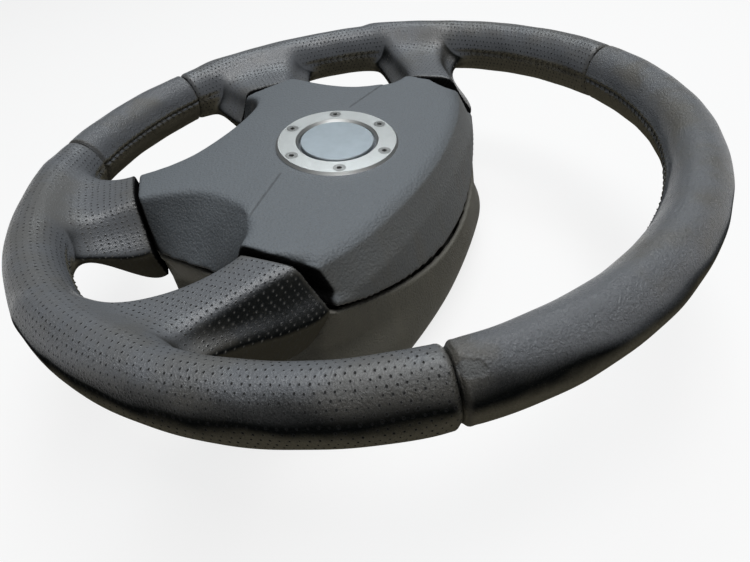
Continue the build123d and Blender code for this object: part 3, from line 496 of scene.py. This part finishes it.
def pad_skin():
    """The horn pad's moulded skin with softened edges, closed under the badge ring, and its small step."""
    obj = remeshed("pad_skin", thick_walled("pad_cover"), PAD_VOXEL)
    mesh = obj.data
    co = points_of(mesh)
    pairs = edges_of(mesh)
    above = co[:, 2] - parting_height(co)
    soft = smoothstep(0.8 * MM, 5.0 * MM, above)
    inside = ((co - BADGE_CENTRE) @ BADGE_AXIS) < -3.0 * MM
    plan = np.linalg.norm(np.cross(co - BADGE_CENTRE, BADGE_AXIS), axis=1)
    soft *= np.where(inside, 1.0, smoothstep(*BADGE_KEPT, plan))
    co = relax(co, pairs, 0.5 * soft, 4)
    crown = smoothstep(8.0 * MM, 22.0 * MM, co[:, 1]) * smoothstep(2.0 * MM, 9.0 * MM, above)
    co = relax(co, pairs, 0.5 * crown * np.where(inside, 0.0, smoothstep(*CROWN_KEPT, plan)), 70)
    arm_end = smoothstep(*WEDGE_SPAN, np.abs(co[:, 0])) * smoothstep(*WEDGE_RISE, co[:, 1])
    co[:, 0] -= np.sign(co[:, 0]) * WEDGE_GAP * arm_end * soft
    set_points(mesh, co)
    up = normals_of(mesh)[:, 2]
    face = (up > 0.97) & (plan > FACE_BAND[0]) & (plan < FACE_BAND[1]) & ~inside
    curve = np.polyfit(co[face, 1], co[face, 2], 4)
    near = (plan < SEAT_REACH) & ~inside
    level = np.polyval(curve, co[:, 1])
    sunk = SEAT_DEPTH * (1.0 - smoothstep(*SEAT_EDGE, plan))
    co[near, 2] = level[near] - sunk[near]
    distance, reach = step_offset(co)
    on_face = smoothstep(0.75, 0.9, up) * (~inside)
    lift = smoothstep(-0.5 * MM, 0.6 * MM, distance) * (1.0 - smoothstep(1.0 * MM, 16.0 * MM, distance))
    co[:, 2] += STEP_HEIGHT * lift * reach * on_face
    set_points(mesh, co)
    normals = normals_of(mesh)
    side = np.sign(co[:, 0])
    # Arm-end faces, darkened by the pad's material as painted shade
    upper_end = smoothstep(*END_FACING, normals[:, 0] * side) * smoothstep(*UPPER_END, np.abs(co[:, 0]))
    facing = normals[:, 0] * side * math.cos(LOWER_ARM) + normals[:, 1] * math.sin(LOWER_ARM)
    lower_end = smoothstep(*END_FACING, facing) * smoothstep(*LOWER_END, spoke_plan(co, True)[0])
    gap = np.maximum(upper_end * (co[:, 1] > -20.0 * MM), lower_end)
    point_values(mesh, "gap", relax(gap[:, None], pairs, np.full(len(gap), 0.6), 3)[:, 0])
    return obj


def cover_skin():
    """The rear cover with its moulded edges eased and its low part filled out."""
    obj = remeshed("cover_skin", thick_walled("rear_cover"), COVER_VOXEL)
    mesh = obj.data
    co = points_of(mesh)
    pairs = edges_of(mesh)
    below = parting_height(co) - COVER_GAP - co[:, 2]
    flat = co[:, 2] < 0.6 * MM
    soft = smoothstep(1.0 * MM, 6.0 * MM, below) * ~flat
    co = relax(co, pairs, 0.5 * soft, 8)
    low = smoothstep(*COVER_FOOT, co[:, 2]) * smoothstep(*COVER_WAIST, co[:, 2])
    co[:, 0] *= 1.0 + COVER_FULLNESS * low
    set_points(mesh, co)
    return obj


def tube(solid, path, radius, sides=6):
    """Adds a closed thread along a path of points to a bmesh."""
    rings = []
    for i, point in enumerate(path):
        ahead = path[min(i + 1, len(path) - 1)] - path[max(i - 1, 0)]
        ahead = ahead / np.linalg.norm(ahead)
        first = np.cross(ahead, (0.0, 0.0, 1.0))
        first = first / np.linalg.norm(first)
        second = np.cross(ahead, first)
        ring = []
        for k in range(sides):
            turn = 2 * math.pi * k / sides
            ring.append(solid.verts.new(point + radius * (math.cos(turn) * first + math.sin(turn) * second)))
        rings.append(ring)
    for a, b in zip(rings, rings[1:]):
        for k in range(sides):
            solid.faces.new((a[k], a[(k + 1) % sides], b[(k + 1) % sides], b[k]))
    solid.faces.new(rings[0][::-1])
    solid.faces.new(rings[-1])


def stitching(leather):
    """Pairs of slanted threads along the inner sewn line, wherever no spoke covers it."""
    surface = BVHTree.FromObject(leather, bpy.context.evaluated_depsgraph_get())
    solid = bmesh.new()
    inner_radius = RIM_RADIUS - GRIP_HALF_WIDTH
    count = int(round(2 * math.pi * inner_radius / STITCH_PITCH))
    generator = np.random.default_rng(5)
    slant = 0.62 * STITCH_PITCH / inner_radius
    lean = np.linspace(0.0, 1.0, 6)
    bulge = 0.5 * MM * np.sin(math.pi * (0.15 + 0.75 * lean)) - 0.36 * MM
    for i in range(count):
        theta = -math.pi + 2 * math.pi * i / count
        shift = generator.normal(0.0, 0.05, 2) * STITCH_PITCH / RIM_RADIUS
        inward = Vector((-math.cos(theta), -math.sin(theta), 0.0))
        outside = -inward * (inner_radius - 3 * MM) + Vector((0.0, 0.0, RIM_HEIGHT))
        covered = surface.ray_cast(outside, inward, 30 * MM)[0] is not None
        if covered or seam_distance(np.array([theta]))[0] < 2.6 * MM:
            continue
        for side, move in zip((1, -1), shift):
            span = theta + move + slant * lean
            phi = math.pi - side * STITCH_REACH * (1.0 - 0.93 * lean) / GRIP_HALF_DEPTH
            tube(solid, rim_point(span, phi, bulge + grip_relief(span, phi)), THREAD_RADIUS)
    mesh = bpy.data.meshes.new("stitching")
    solid.to_mesh(mesh)
    solid.free()
    mesh.shade_smooth()
    return link(bpy.data.objects.new("stitching", mesh))


smooth_top = smooth_panel("smooth_leather_top", TOP_SEAM + TOP_TWIST, math.pi - TOP_SEAM + TOP_TWIST)
smooth_bottom = smooth_panel("smooth_leather_bottom", SIX_O_CLOCK - BOTTOM_SEAM, SIX_O_CLOCK + BOTTOM_SEAM)
perforated = perforated_leather()
pad = pad_skin()
cover = cover_skin()
thread = stitching(perforated)
springs = link(bpy.data.objects.new("return_springs", nodes["horn_springs"].data.copy()))

for obj in (smooth_top, smooth_bottom, perforated, cover, thread):
    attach(obj, "wheel")
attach(pad, "horn_pad")
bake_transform(springs)
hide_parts("smooth_grips")
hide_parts("perforated_grips")
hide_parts("pad_cover")
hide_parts("rear_cover")
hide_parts("horn_springs")


class Shader:
    """A node material, built up by small calls that give back output sockets."""

    def __init__(self, name):
        self.material = bpy.data.materials.new(name)
        self.material.use_nodes = True
        self.tree = self.material.node_tree
        self.surface = self.tree.nodes["Principled BSDF"]

    def node(self, kind, inputs=(), **settings):
        """A node with its settings and its inputs, which are sockets or plain values."""
        made = self.tree.nodes.new(kind)
        for key, value in settings.items():
            setattr(made, key, value)
        for key, value in inputs:
            self.put(made.inputs[key], value)
        return made

    def put(self, socket, value):
        """Joins a socket to another or sets its value."""
        if isinstance(value, bpy.types.NodeSocket):
            self.tree.links.new(value, socket)
        elif isinstance(value, tuple) and len(value) == 3 and socket.type == "RGBA":
            socket.default_value = (*value, 1.0)
        else:
            socket.default_value = value

    def set(self, **inputs):
        """Sets the surface's inputs, named with underscores for spaces."""
        for key, value in inputs.items():
            self.put(self.surface.inputs[key.replace("_", " ")], value)

    def math(self, operation, *values):
        """A sum on numbers or sockets."""
        made = self.node("ShaderNodeMath", operation=operation)
        for socket, value in zip(made.inputs, values):
            self.put(socket, value)
        return made.outputs[0]

    def ramp(self, value, low, high, at_low=0.0, at_high=1.0):
        """A smooth step of a value between two limits."""
        made = self.node("ShaderNodeMapRange", interpolation_type="SMOOTHSTEP")
        for socket, item in zip(made.inputs, (value, low, high, at_low, at_high)):
            self.put(socket, item)
        return made.outputs[0]

    def mix(self, share, first, second):
        """A colour between two colours."""
        made = self.node("ShaderNodeMix", data_type="RGBA")
        self.put(made.inputs[0], share)
        self.put(made.inputs[6], first)
        self.put(made.inputs[7], second)
        return made.outputs[2]

    def place(self):
        """Position on the object, in metres."""
        return self.node("ShaderNodeTexCoord").outputs["Object"]

    def noise(self, vector, scale, detail=2.0, roughness=0.5, distortion=0.0):
        """Cloudy noise, about 0.5 in the middle."""
        made = self.node("ShaderNodeTexNoise", (("Vector", vector), ("Scale", scale), ("Detail", detail),
                                                ("Roughness", roughness), ("Distortion", distortion)))
        return made.outputs[0]

    def cells(self, vector, scale, feature="F1"):
        """Distance from the nearest of scattered points."""
        made = self.node("ShaderNodeTexVoronoi", feature=feature)
        self.put(made.inputs["Vector"], vector)
        self.put(made.inputs["Scale"], scale)
        return made.outputs["Distance"]

    def upward(self):
        """How far the surface faces up, from -1 to 1."""
        normal = self.node("ShaderNodeNewGeometry").outputs["Normal"]
        return self.node("ShaderNodeSeparateXYZ", (("Vector", normal),)).outputs["Z"]

    def value(self, name):
        """A number kept for each point of the mesh."""
        return self.node("ShaderNodeAttribute", attribute_name=name).outputs["Fac"]

    def bump(self, height, distance, strength=1.0, under=None):
        """A normal from a height, on top of another normal."""
        inputs = (("Strength", strength), ("Distance", distance), ("Height", height))
        made = self.node("ShaderNodeBump", inputs)
        if under is not None:
            self.put(made.inputs["Normal"], under)
        return made.outputs[0]


HOLE_PITCH = 3.1


def hole_pattern(shader):
    """Masks of the punched holes and their lips: staggered on the rim, in square rows on the spokes."""
    skin = shader.node("ShaderNodeUVMap", uv_map="skin").outputs[0]
    spoke = shader.value("spoke")
    split = shader.node("ShaderNodeSeparateXYZ", (("Vector", skin),))
    row_v = shader.math("DIVIDE", split.outputs["Y"], HOLE_PITCH * 0.92)
    row = shader.math("FLOOR", row_v)
    odd = shader.math("MULTIPLY", shader.math("FLOORED_MODULO", row, 2.0), 0.5)
    on_rim = shader.math("LESS_THAN", spoke, 0.5)
    column_u = shader.math("DIVIDE", split.outputs["X"], HOLE_PITCH)
    column_u = shader.math("ADD", column_u, shader.math("MULTIPLY", odd, on_rim))
    column = shader.math("FLOOR", column_u)
    cell = shader.node("ShaderNodeCombineXYZ", (("X", column), ("Y", row), ("Z", on_rim))).outputs[0]
    chance = shader.node("ShaderNodeTexWhiteNoise", noise_dimensions="3D")
    shader.put(chance.inputs["Vector"], cell)
    jitter = shader.node("ShaderNodeSeparateXYZ", (("Vector", chance.outputs["Color"]),))
    middle_u = shader.math("MULTIPLY_ADD", jitter.outputs["X"], 0.16, 0.42)
    middle_v = shader.math("MULTIPLY_ADD", jitter.outputs["Y"], 0.16, 0.42)
    du = shader.math("SUBTRACT", shader.math("FRACT", column_u), middle_u)
    dv = shader.math("SUBTRACT", shader.math("FRACT", row_v), middle_v)
    long_u = shader.math("MULTIPLY_ADD", on_rim, -0.035, 0.15)
    long_v = shader.math("MULTIPLY_ADD", on_rim, 0.035, 0.15)
    du = shader.math("POWER", shader.math("DIVIDE", du, long_u), 2.0)
    dv = shader.math("POWER", shader.math("DIVIDE", dv, long_v), 2.0)
    reach = shader.math("SQRT", shader.math("ADD", du, dv))
    reach = shader.math("DIVIDE", reach, shader.math("MULTIPLY_ADD", jitter.outputs["Z"], 0.55, 0.62))
    hole = shader.ramp(reach, 0.65, 1.15, 1.0, 0.0)
    lip = shader.math("SUBTRACT", shader.ramp(reach, 1.0, 2.1, 1.0, 0.0), hole)
    change = shader.math("ABSOLUTE", shader.math("SUBTRACT", spoke, 0.5))
    keep = shader.ramp(change, 0.06, 0.3)
    return shader.math("MULTIPLY", hole, keep), shader.math("MULTIPLY", lip, keep)


# Leather: bare leather darkened as painted shade on the sides, dust lightened as painted light on the tops
BARE_LEATHER_SHADED = (0.008, 0.009, 0.009)
TOP_DUST_LIT = (0.140, 0.148, 0.160)
UNDER_DUST = (0.200, 0.182, 0.135)
BROWN_FILM = (0.125, 0.118, 0.102)
PEELED = (0.128, 0.132, 0.132)
HOLE_SHADE_PAINT = (0.008, 0.008, 0.008)
HOLE_PALE = (0.15, 0.145, 0.13)
PAD_CLEAN_SHADED = (0.026, 0.030, 0.034)
PAD_DUST_LIT = (0.150, 0.167, 0.184)
PAD_UNDER = (0.130, 0.125, 0.110)
PAD_CROWN_LIGHT = (0.125, 0.130, 0.130)
SHELL_CLEAN_SHADED = (0.135, 0.130, 0.108)
SHELL_DUST_LIT = (0.150, 0.146, 0.128)
SHELL_UNDER = (0.165, 0.155, 0.125)
CREASE_SHADE_PAINT = (0.02, 0.021, 0.022)
GAP_SHADE_PAINT = (0.006, 0.006, 0.006)


def leather(name, punched):
    """Worn black leather: pebbled, dust and painted light on top, painted shade on its sides, brown below,
    with punched holes where it has them, and painted shade in those holes and at the spokes' ends.
    """
    shader = Shader(name)
    place = shader.place()
    up = shader.upward()
    outward = shader.value("outward")
    patches = shader.noise(place, 38.0, 3.0, 0.55)
    fine = shader.noise(place, 1500.0, 3.0, 0.65)
    pebbles = shader.cells(place, 1100.0, "SMOOTH_F1")
    wrinkles = shader.noise(place, 700.0, 4.0, 0.65, 1.0)
    spoke = shader.value("spoke")
    # Tops and upward inner walls painted lighter, sides left dark: dust, with painted light and shade
    inner = shader.ramp(outward, -0.9, -0.1, 0.74, 0.0)
    dust_and_light_share = shader.math("MULTIPLY_ADD", patches, 0.24, shader.math("SUBTRACT", up, 0.12))
    dust_and_light_share = shader.math("MULTIPLY_ADD", fine, 0.20, shader.math("SUBTRACT", dust_and_light_share, 0.10))
    dust_and_light_share = shader.math("ADD", dust_and_light_share, shader.math("MULTIPLY", inner, shader.ramp(up, -0.5, 0.0)))
    # One side of each panel painted lighter, as painted light
    toward = shader.node("ShaderNodeSeparateXYZ", (("Vector", place),)).outputs["Y"]
    lit_side_span = (-0.07, 0.04, 0.42, 0.0) if punched else (0.11, 0.165, 0.0, 0.55)
    lit_side = shader.ramp(toward, *lit_side_span)
    dust_and_light_share = shader.math("ADD", dust_and_light_share, shader.math("MULTIPLY", lit_side, shader.ramp(up, -0.4, 0.1)))
    colour = shader.mix(shader.ramp(dust_and_light_share, 0.57, 0.97), BARE_LEATHER_SHADED, TOP_DUST_LIT)
    below = shader.math("MULTIPLY_ADD", patches, 0.4, shader.math("MULTIPLY", up, -1.0))
    brown = shader.math("MULTIPLY", shader.ramp(below, -0.04, 0.34), shader.ramp(spoke, 0.3, 0.7, 1.0, 0.4))
    colour = shader.mix(brown, colour, UNDER_DUST)
    specks = shader.ramp(shader.noise(place, 2100.0, 2.0, 0.7), 0.60, 0.74, 0.0, 0.35)
    colour = shader.mix(shader.math("MULTIPLY", specks, shader.ramp(patches, 0.35, 0.65)), colour, UNDER_DUST)
    film = shader.ramp(shader.noise(place, 22.0, 4.0, 0.6), 0.44, 0.64, 0.0, 0.5 if punched else 0.8)
    colour = shader.mix(shader.math("MULTIPLY", film, shader.ramp(up, 0.2, 0.7)), colour, BROWN_FILM)
    colour = shader.mix(shader.math("MULTIPLY", shader.value("edge"), 0.4), colour, BROWN_FILM)
    relief = shader.math("MULTIPLY_ADD", wrinkles, 1.4, shader.math("MULTIPLY_ADD", pebbles, 1.1, fine))
    relief = shader.math("MULTIPLY", relief, shader.ramp(outward, 0.0, 0.7, 0.2 if punched else 0.5, 1.0))
    normal = shader.bump(relief, 0.00064, 0.9)
    rough = shader.math("MULTIPLY_ADD", patches, 0.20, 0.19)
    gloss = shader.ramp(up, 0.30, 0.75, 0.0, 0.5)
    if punched:
        hole, lip = hole_pattern(shader)
        # Holes paler on the spokes' sides and undersides
        pale_holes = shader.math("MULTIPLY", shader.ramp(up, 0.35, 0.7, 1.0, 0.0),
                             shader.ramp(spoke, 0.4, 0.7, 0.1, 1.0))
        hole = shader.math("MULTIPLY", hole, shader.math("MAXIMUM", shader.ramp(up, -0.2, 0.15),
                                                         shader.ramp(spoke, 0.3, 0.6, 1.0, 0.0)))
        # Painted shade at the spokes' ends
        gap = shader.ramp(shader.value("gap"), 0.2, 0.7)
        hole = shader.math("MULTIPLY", hole, shader.math("SUBTRACT", 1.0, gap))
        colour = shader.mix(gap, colour, HOLE_SHADE_PAINT)
        # Holes darkened as painted shade
        colour = shader.mix(hole, colour, shader.mix(pale_holes, HOLE_SHADE_PAINT, HOLE_PALE))
        colour = shader.mix(shader.math("MULTIPLY", lip, 0.15), colour, TOP_DUST_LIT)
        depth = shader.math("MULTIPLY_ADD", lip, 0.25, shader.math("MULTIPLY", hole, -1.0))
        normal = shader.bump(depth, 0.00045, 0.9, normal)
        rough = shader.math("MAXIMUM", rough, shader.math("MULTIPLY", hole, 0.8))
    else:
        peel = shader.value("peel")
        colour = shader.mix(shader.math("MULTIPLY", peel, 0.85), colour, PEELED)
        rough = shader.math("MAXIMUM", rough, shader.math("MULTIPLY", peel, 0.75))
    shader.set(Base_Color=colour, Roughness=rough, Normal=normal, Specular_IOR_Level=gloss)
    return shader.material


def moulded(name, shaded_clean, lit_dust, under, grain, rough, crown=None):
    """Fine-grained moulded plastic with dust and streaks down its sides, painted light on top and on its
    twelve o'clock side, painted shade on its sides, along its step and in gaps.
    """
    shader = Shader(name)
    place = shader.place()
    up = shader.upward()
    patches = shader.noise(place, 30.0, 3.0, 0.55)
    grains = shader.cells(place, grain, "SMOOTH_F1")
    fine = shader.noise(place, grain * 1.7, 2.0, 0.6)
    streak = shader.node("ShaderNodeMapping", (("Vector", place), ("Scale", (1.0, 1.0, 0.12)))).outputs[0]
    streaks = shader.noise(streak, 140.0, 3.0, 0.6)
    split = shader.node("ShaderNodeSeparateXYZ", (("Vector", place),)).outputs
    # The twelve o'clock side painted lighter, as painted light
    if crown is not None:
        shaded_clean = shader.mix(shader.ramp(split["Y"], 0.005, 0.045), shaded_clean, crown)
    # Tops painted lighter as dust and painted light, sides left dark as painted shade
    lit = shader.math("MULTIPLY_ADD", patches, 0.3, shader.math("SUBTRACT", up, 0.15))
    lit = shader.math("MULTIPLY_ADD", fine, 0.3, shader.math("SUBTRACT", lit, 0.15))
    colour = shader.mix(shader.ramp(lit, 0.35, 0.98), shaded_clean, lit_dust)
    below = shader.math("MULTIPLY_ADD", patches, 0.8, shader.math("MULTIPLY", up, -0.8))
    colour = shader.mix(shader.ramp(below, 0.25, 0.80, 0.0, 0.9), colour, under)
    colour = shader.mix(shader.ramp(fine, 0.50, 0.72, 0.0, 0.35), colour, under)
    sides = shader.ramp(up, 0.2, 0.6, 0.4, 0.0)
    colour = shader.mix(shader.math("MULTIPLY", shader.ramp(streaks, 0.45, 0.65), sides), colour, under)
    if crown is not None:
        # Painted shade along the twelve o'clock foot of the moulded step
        side = shader.math("SUBTRACT", shader.math("ABSOLUTE", split["X"]), STEP_SPAN[0])
        line = shader.math("MULTIPLY_ADD", side, STEP_SLOPE, STEP_START + 0.5 * MM)
        away = shader.math("ABSOLUTE", shader.math("SUBTRACT", split["Y"], line))
        crease_shade = shader.math("MULTIPLY", shader.ramp(away, 0.2 * MM, 0.8 * MM, 0.45, 0.0),
                             shader.ramp(up, 0.6, 0.8))
        reach = shader.math("MULTIPLY", shader.ramp(side, -1.0 * MM, 1.5 * MM),
                            shader.ramp(side, *STEP_FADE, 1.0, 0.0))
        colour = shader.mix(shader.math("MULTIPLY", crease_shade, reach), colour, CREASE_SHADE_PAINT)
    relief = shader.math("MULTIPLY_ADD", fine, 0.7, grains)
    roughness = shader.math("MULTIPLY_ADD", patches, 0.2, rough)
    normal = shader.bump(relief, 0.00048, 0.9)
    # Painted shade on the arm ends
    gap = shader.ramp(shader.value("gap"), 0.2, 0.75)
    colour = shader.mix(gap, colour, GAP_SHADE_PAINT)
    gloss = shader.math("MULTIPLY", shader.ramp(up, 0.10, 0.70, 0.06, 0.32),
                        shader.math("SUBTRACT", 1.0, gap))
    shader.set(Base_Color=colour, Roughness=roughness, Normal=normal, Specular_IOR_Level=gloss)
    return shader.material


def metal(name, colour, rough, turned=False):
    """Plain or turned metal with fine marks."""
    shader = Shader(name)
    place = shader.place()
    if turned:
        offset = shader.node("ShaderNodeVectorMath", operation="SUBTRACT")
        shader.put(offset.inputs[0], place)
        offset.inputs[1].default_value = BADGE_CENTRE
        length = shader.node("ShaderNodeVectorMath", operation="LENGTH")
        shader.put(length.inputs[0], offset.outputs[0])
        lines = shader.node("ShaderNodeTexNoise", noise_dimensions="1D")
        shader.put(lines.inputs["W"], length.outputs["Value"])
        shader.put(lines.inputs["Scale"], 4200.0)
        marks = lines.outputs[0]
    else:
        marks = shader.noise(place, 1500.0, 3.0, 0.6)
    smears = shader.noise(place, 60.0, 3.0, 0.6)
    tint = shader.mix(shader.ramp(smears, 0.3, 0.8), colour, tuple(0.86 * c for c in colour))
    roughness = shader.math("MULTIPLY_ADD", marks, 0.10, rough - 0.12)
    roughness = shader.math("MULTIPLY_ADD", smears, 0.14, roughness)
    shader.set(Base_Color=tint, Roughness=roughness, Normal=shader.bump(marks, 0.00004, 0.6), Metallic=1.0)
    return shader.material


def plain(name, colour, rough, scale=700.0):
    """A plain dull surface with a little mottling, for thread and inner pieces."""
    shader = Shader(name)
    place = shader.place()
    mottle = shader.noise(place, scale, 3.0, 0.6)
    tint = shader.mix(shader.ramp(mottle, 0.3, 0.8), colour, tuple(0.72 * c for c in colour))
    roughness = shader.math("MULTIPLY_ADD", mottle, 0.2, rough - 0.1)
    shader.set(Base_Color=tint, Roughness=roughness, Normal=shader.bump(mottle, 0.0001, 0.6))
    return shader.material


def dress(obj, material):
    """Gives an object one material over all its faces."""
    if not obj.data.materials:
        obj.data.materials.append(material)
    for slot in obj.material_slots:
        slot.link = "OBJECT"
        slot.material = material


smooth_finish = leather("smooth_leather_finish", False)
punched_finish = leather("punched_leather_finish", True)
pad_finish = moulded("pad_finish", PAD_CLEAN_SHADED, PAD_DUST_LIT, PAD_UNDER, 800.0, 0.46, PAD_CROWN_LIGHT)
shell_finish = moulded("shell_finish", SHELL_CLEAN_SHADED, SHELL_DUST_LIT, SHELL_UNDER, 1000.0, 0.55)
steel_finish = metal("plated_steel_finish", (0.58, 0.58, 0.57), 0.38)
for obj in (smooth_top, smooth_bottom):
    dress(obj, smooth_finish)
dress(perforated, punched_finish)
dress(pad, pad_finish)
dress(cover, shell_finish)
dress(springs, metal("spring_finish", (0.20, 0.21, 0.24), 0.4))
dress(thread, plain("thread_finish", (0.075, 0.070, 0.052), 0.85, 2500.0))
for name, material in {
    "armature": metal("casting_finish", (0.42, 0.42, 0.41), 0.6),
    "hub_boss": steel_finish,
    "badge_ring": metal("turned_ring_finish", (0.67, 0.68, 0.67), 0.38, True),
    "badge_disc": metal("badge_plate_finish", (0.41, 0.455, 0.49), 0.44),
    "badge_screws": metal("bright_screw_finish", (0.46, 0.46, 0.45), 0.30),
    "cover_screws": steel_finish,
    "guide_bushes": plain("bush_finish", (0.62, 0.59, 0.50), 0.5),
    "guide_bolts": steel_finish,
    "contact_insulators": plain("insulator_finish", (0.60, 0.58, 0.50), 0.6),
    "fixed_contacts": metal("brass_finish", (0.70, 0.50, 0.20), 0.35),
    "moving_contacts": metal("brass_tab_finish", (0.70, 0.50, 0.20), 0.35),
    "module_plate": steel_finish,
    "pad_screws": steel_finish,
    "inflator": plain("can_finish", (0.34, 0.34, 0.32), 0.5),
    "retainer_ring": steel_finish,
    "module_nuts": steel_finish,
    "cushion": plain("cloth_finish", (0.48, 0.46, 0.40), 0.9, 1800.0),
}.items():
    dress(nodes[name], material)

# Stage: a pale floor, a soft lamp overhead, a dim panel on the far side, a dim room, the photograph's camera
FLOOR_REACH = 8.0
FLOOR_PALE = (0.9, 0.9, 0.9)
FLOOR_BOUNCE = (0.42, 0.41, 0.39)
FLOOR_GLOW = 0.80
WHITE = (1.0, 1.0, 1.0)
COOL_WHITE = (0.90, 0.97, 1.0)
ROOM_TINT = (0.95, 0.98, 1.0, 1.0)
ROOM_STRENGTH = 0.12
LAMP_AIM = (0.0, 0.0, 0.1)
SENSOR_WIDTH = 36.0
LENS = 26.5
CAMERA_PLACE = (0.2430, 0.1472, 0.2438)
CAMERA_RIGHT = (-0.422, 0.898, -0.125)
CAMERA_UP = (-0.636, -0.195, 0.746)
corners = [(-FLOOR_REACH, -FLOOR_REACH, 0), (FLOOR_REACH, -FLOOR_REACH, 0)]
corners += [(FLOOR_REACH, FLOOR_REACH, 0), (-FLOOR_REACH, FLOOR_REACH, 0)]
floor_mesh = bpy.data.meshes.new("floor")
floor_mesh.from_pydata(corners, [], [(0, 1, 2, 3)])
floor = link(bpy.data.objects.new("floor", floor_mesh))
floor_shader = Shader("floor_finish")
floor_shader.tree.nodes.remove(floor_shader.surface)
ray = floor_shader.node("ShaderNodeLightPath").outputs
seen = floor_shader.math("MAXIMUM", ray["Is Camera Ray"], ray["Is Glossy Ray"])
seen = floor_shader.math("MAXIMUM", seen, ray["Is Transmission Ray"])
pale = floor_shader.node("ShaderNodeBsdfDiffuse", (("Color", FLOOR_PALE),)).outputs[0]
glow = floor_shader.node("ShaderNodeEmission", (("Color", WHITE), ("Strength", 1.0))).outputs[0]
white = floor_shader.node("ShaderNodeMixShader", ((0, FLOOR_GLOW), (1, pale), (2, glow))).outputs[0]
bounce = floor_shader.node("ShaderNodeBsdfDiffuse", (("Color", FLOOR_BOUNCE),)).outputs[0]
both = floor_shader.node("ShaderNodeMixShader", ((0, seen), (1, bounce), (2, white))).outputs[0]
floor_shader.put(floor_shader.tree.nodes["Material Output"].inputs["Surface"], both)
dress(floor, floor_shader.material)

camera_data = bpy.data.cameras.new("photo_camera")
camera_data.sensor_width = SENSOR_WIDTH
camera_data.lens = LENS
camera = link(bpy.data.objects.new("photo_camera", camera_data))
right = Vector(CAMERA_RIGHT).normalized()
back = right.cross(Vector(CAMERA_UP)).normalized()
turn = Matrix((right, back.cross(right), back)).transposed().to_4x4()
camera.matrix_world = Matrix.Translation(CAMERA_PLACE) @ turn
scene.camera = camera


def soft_lamp(name, place, aim, width, length, power, tint):
    """A rectangular lamp that faces a point."""
    data = bpy.data.lights.new(name, "AREA")
    data.shape = "RECTANGLE"
    data.size = width
    data.size_y = length
    data.energy = power
    data.color = tint
    lamp = link(bpy.data.objects.new(name, data))
    lamp.location = place
    lamp.rotation_euler = (Vector(aim) - Vector(place)).to_track_quat("-Z", "Y").to_euler()


soft_lamp("overhead", (0.0, 0.20, 1.45), LAMP_AIM, 0.9, 0.9, 14.0, WHITE)
soft_lamp("far_panel", (-1.05, -0.29, 1.65), LAMP_AIM, 0.9, 0.6, 9.0, COOL_WHITE)

world = bpy.data.worlds.new("studio")
scene.world = world
world.use_nodes = True
world.node_tree.nodes["Background"].inputs["Color"].default_value = ROOM_TINT
world.node_tree.nodes["Background"].inputs["Strength"].default_value = ROOM_STRENGTH
scene.view_settings.view_transform = "Standard"
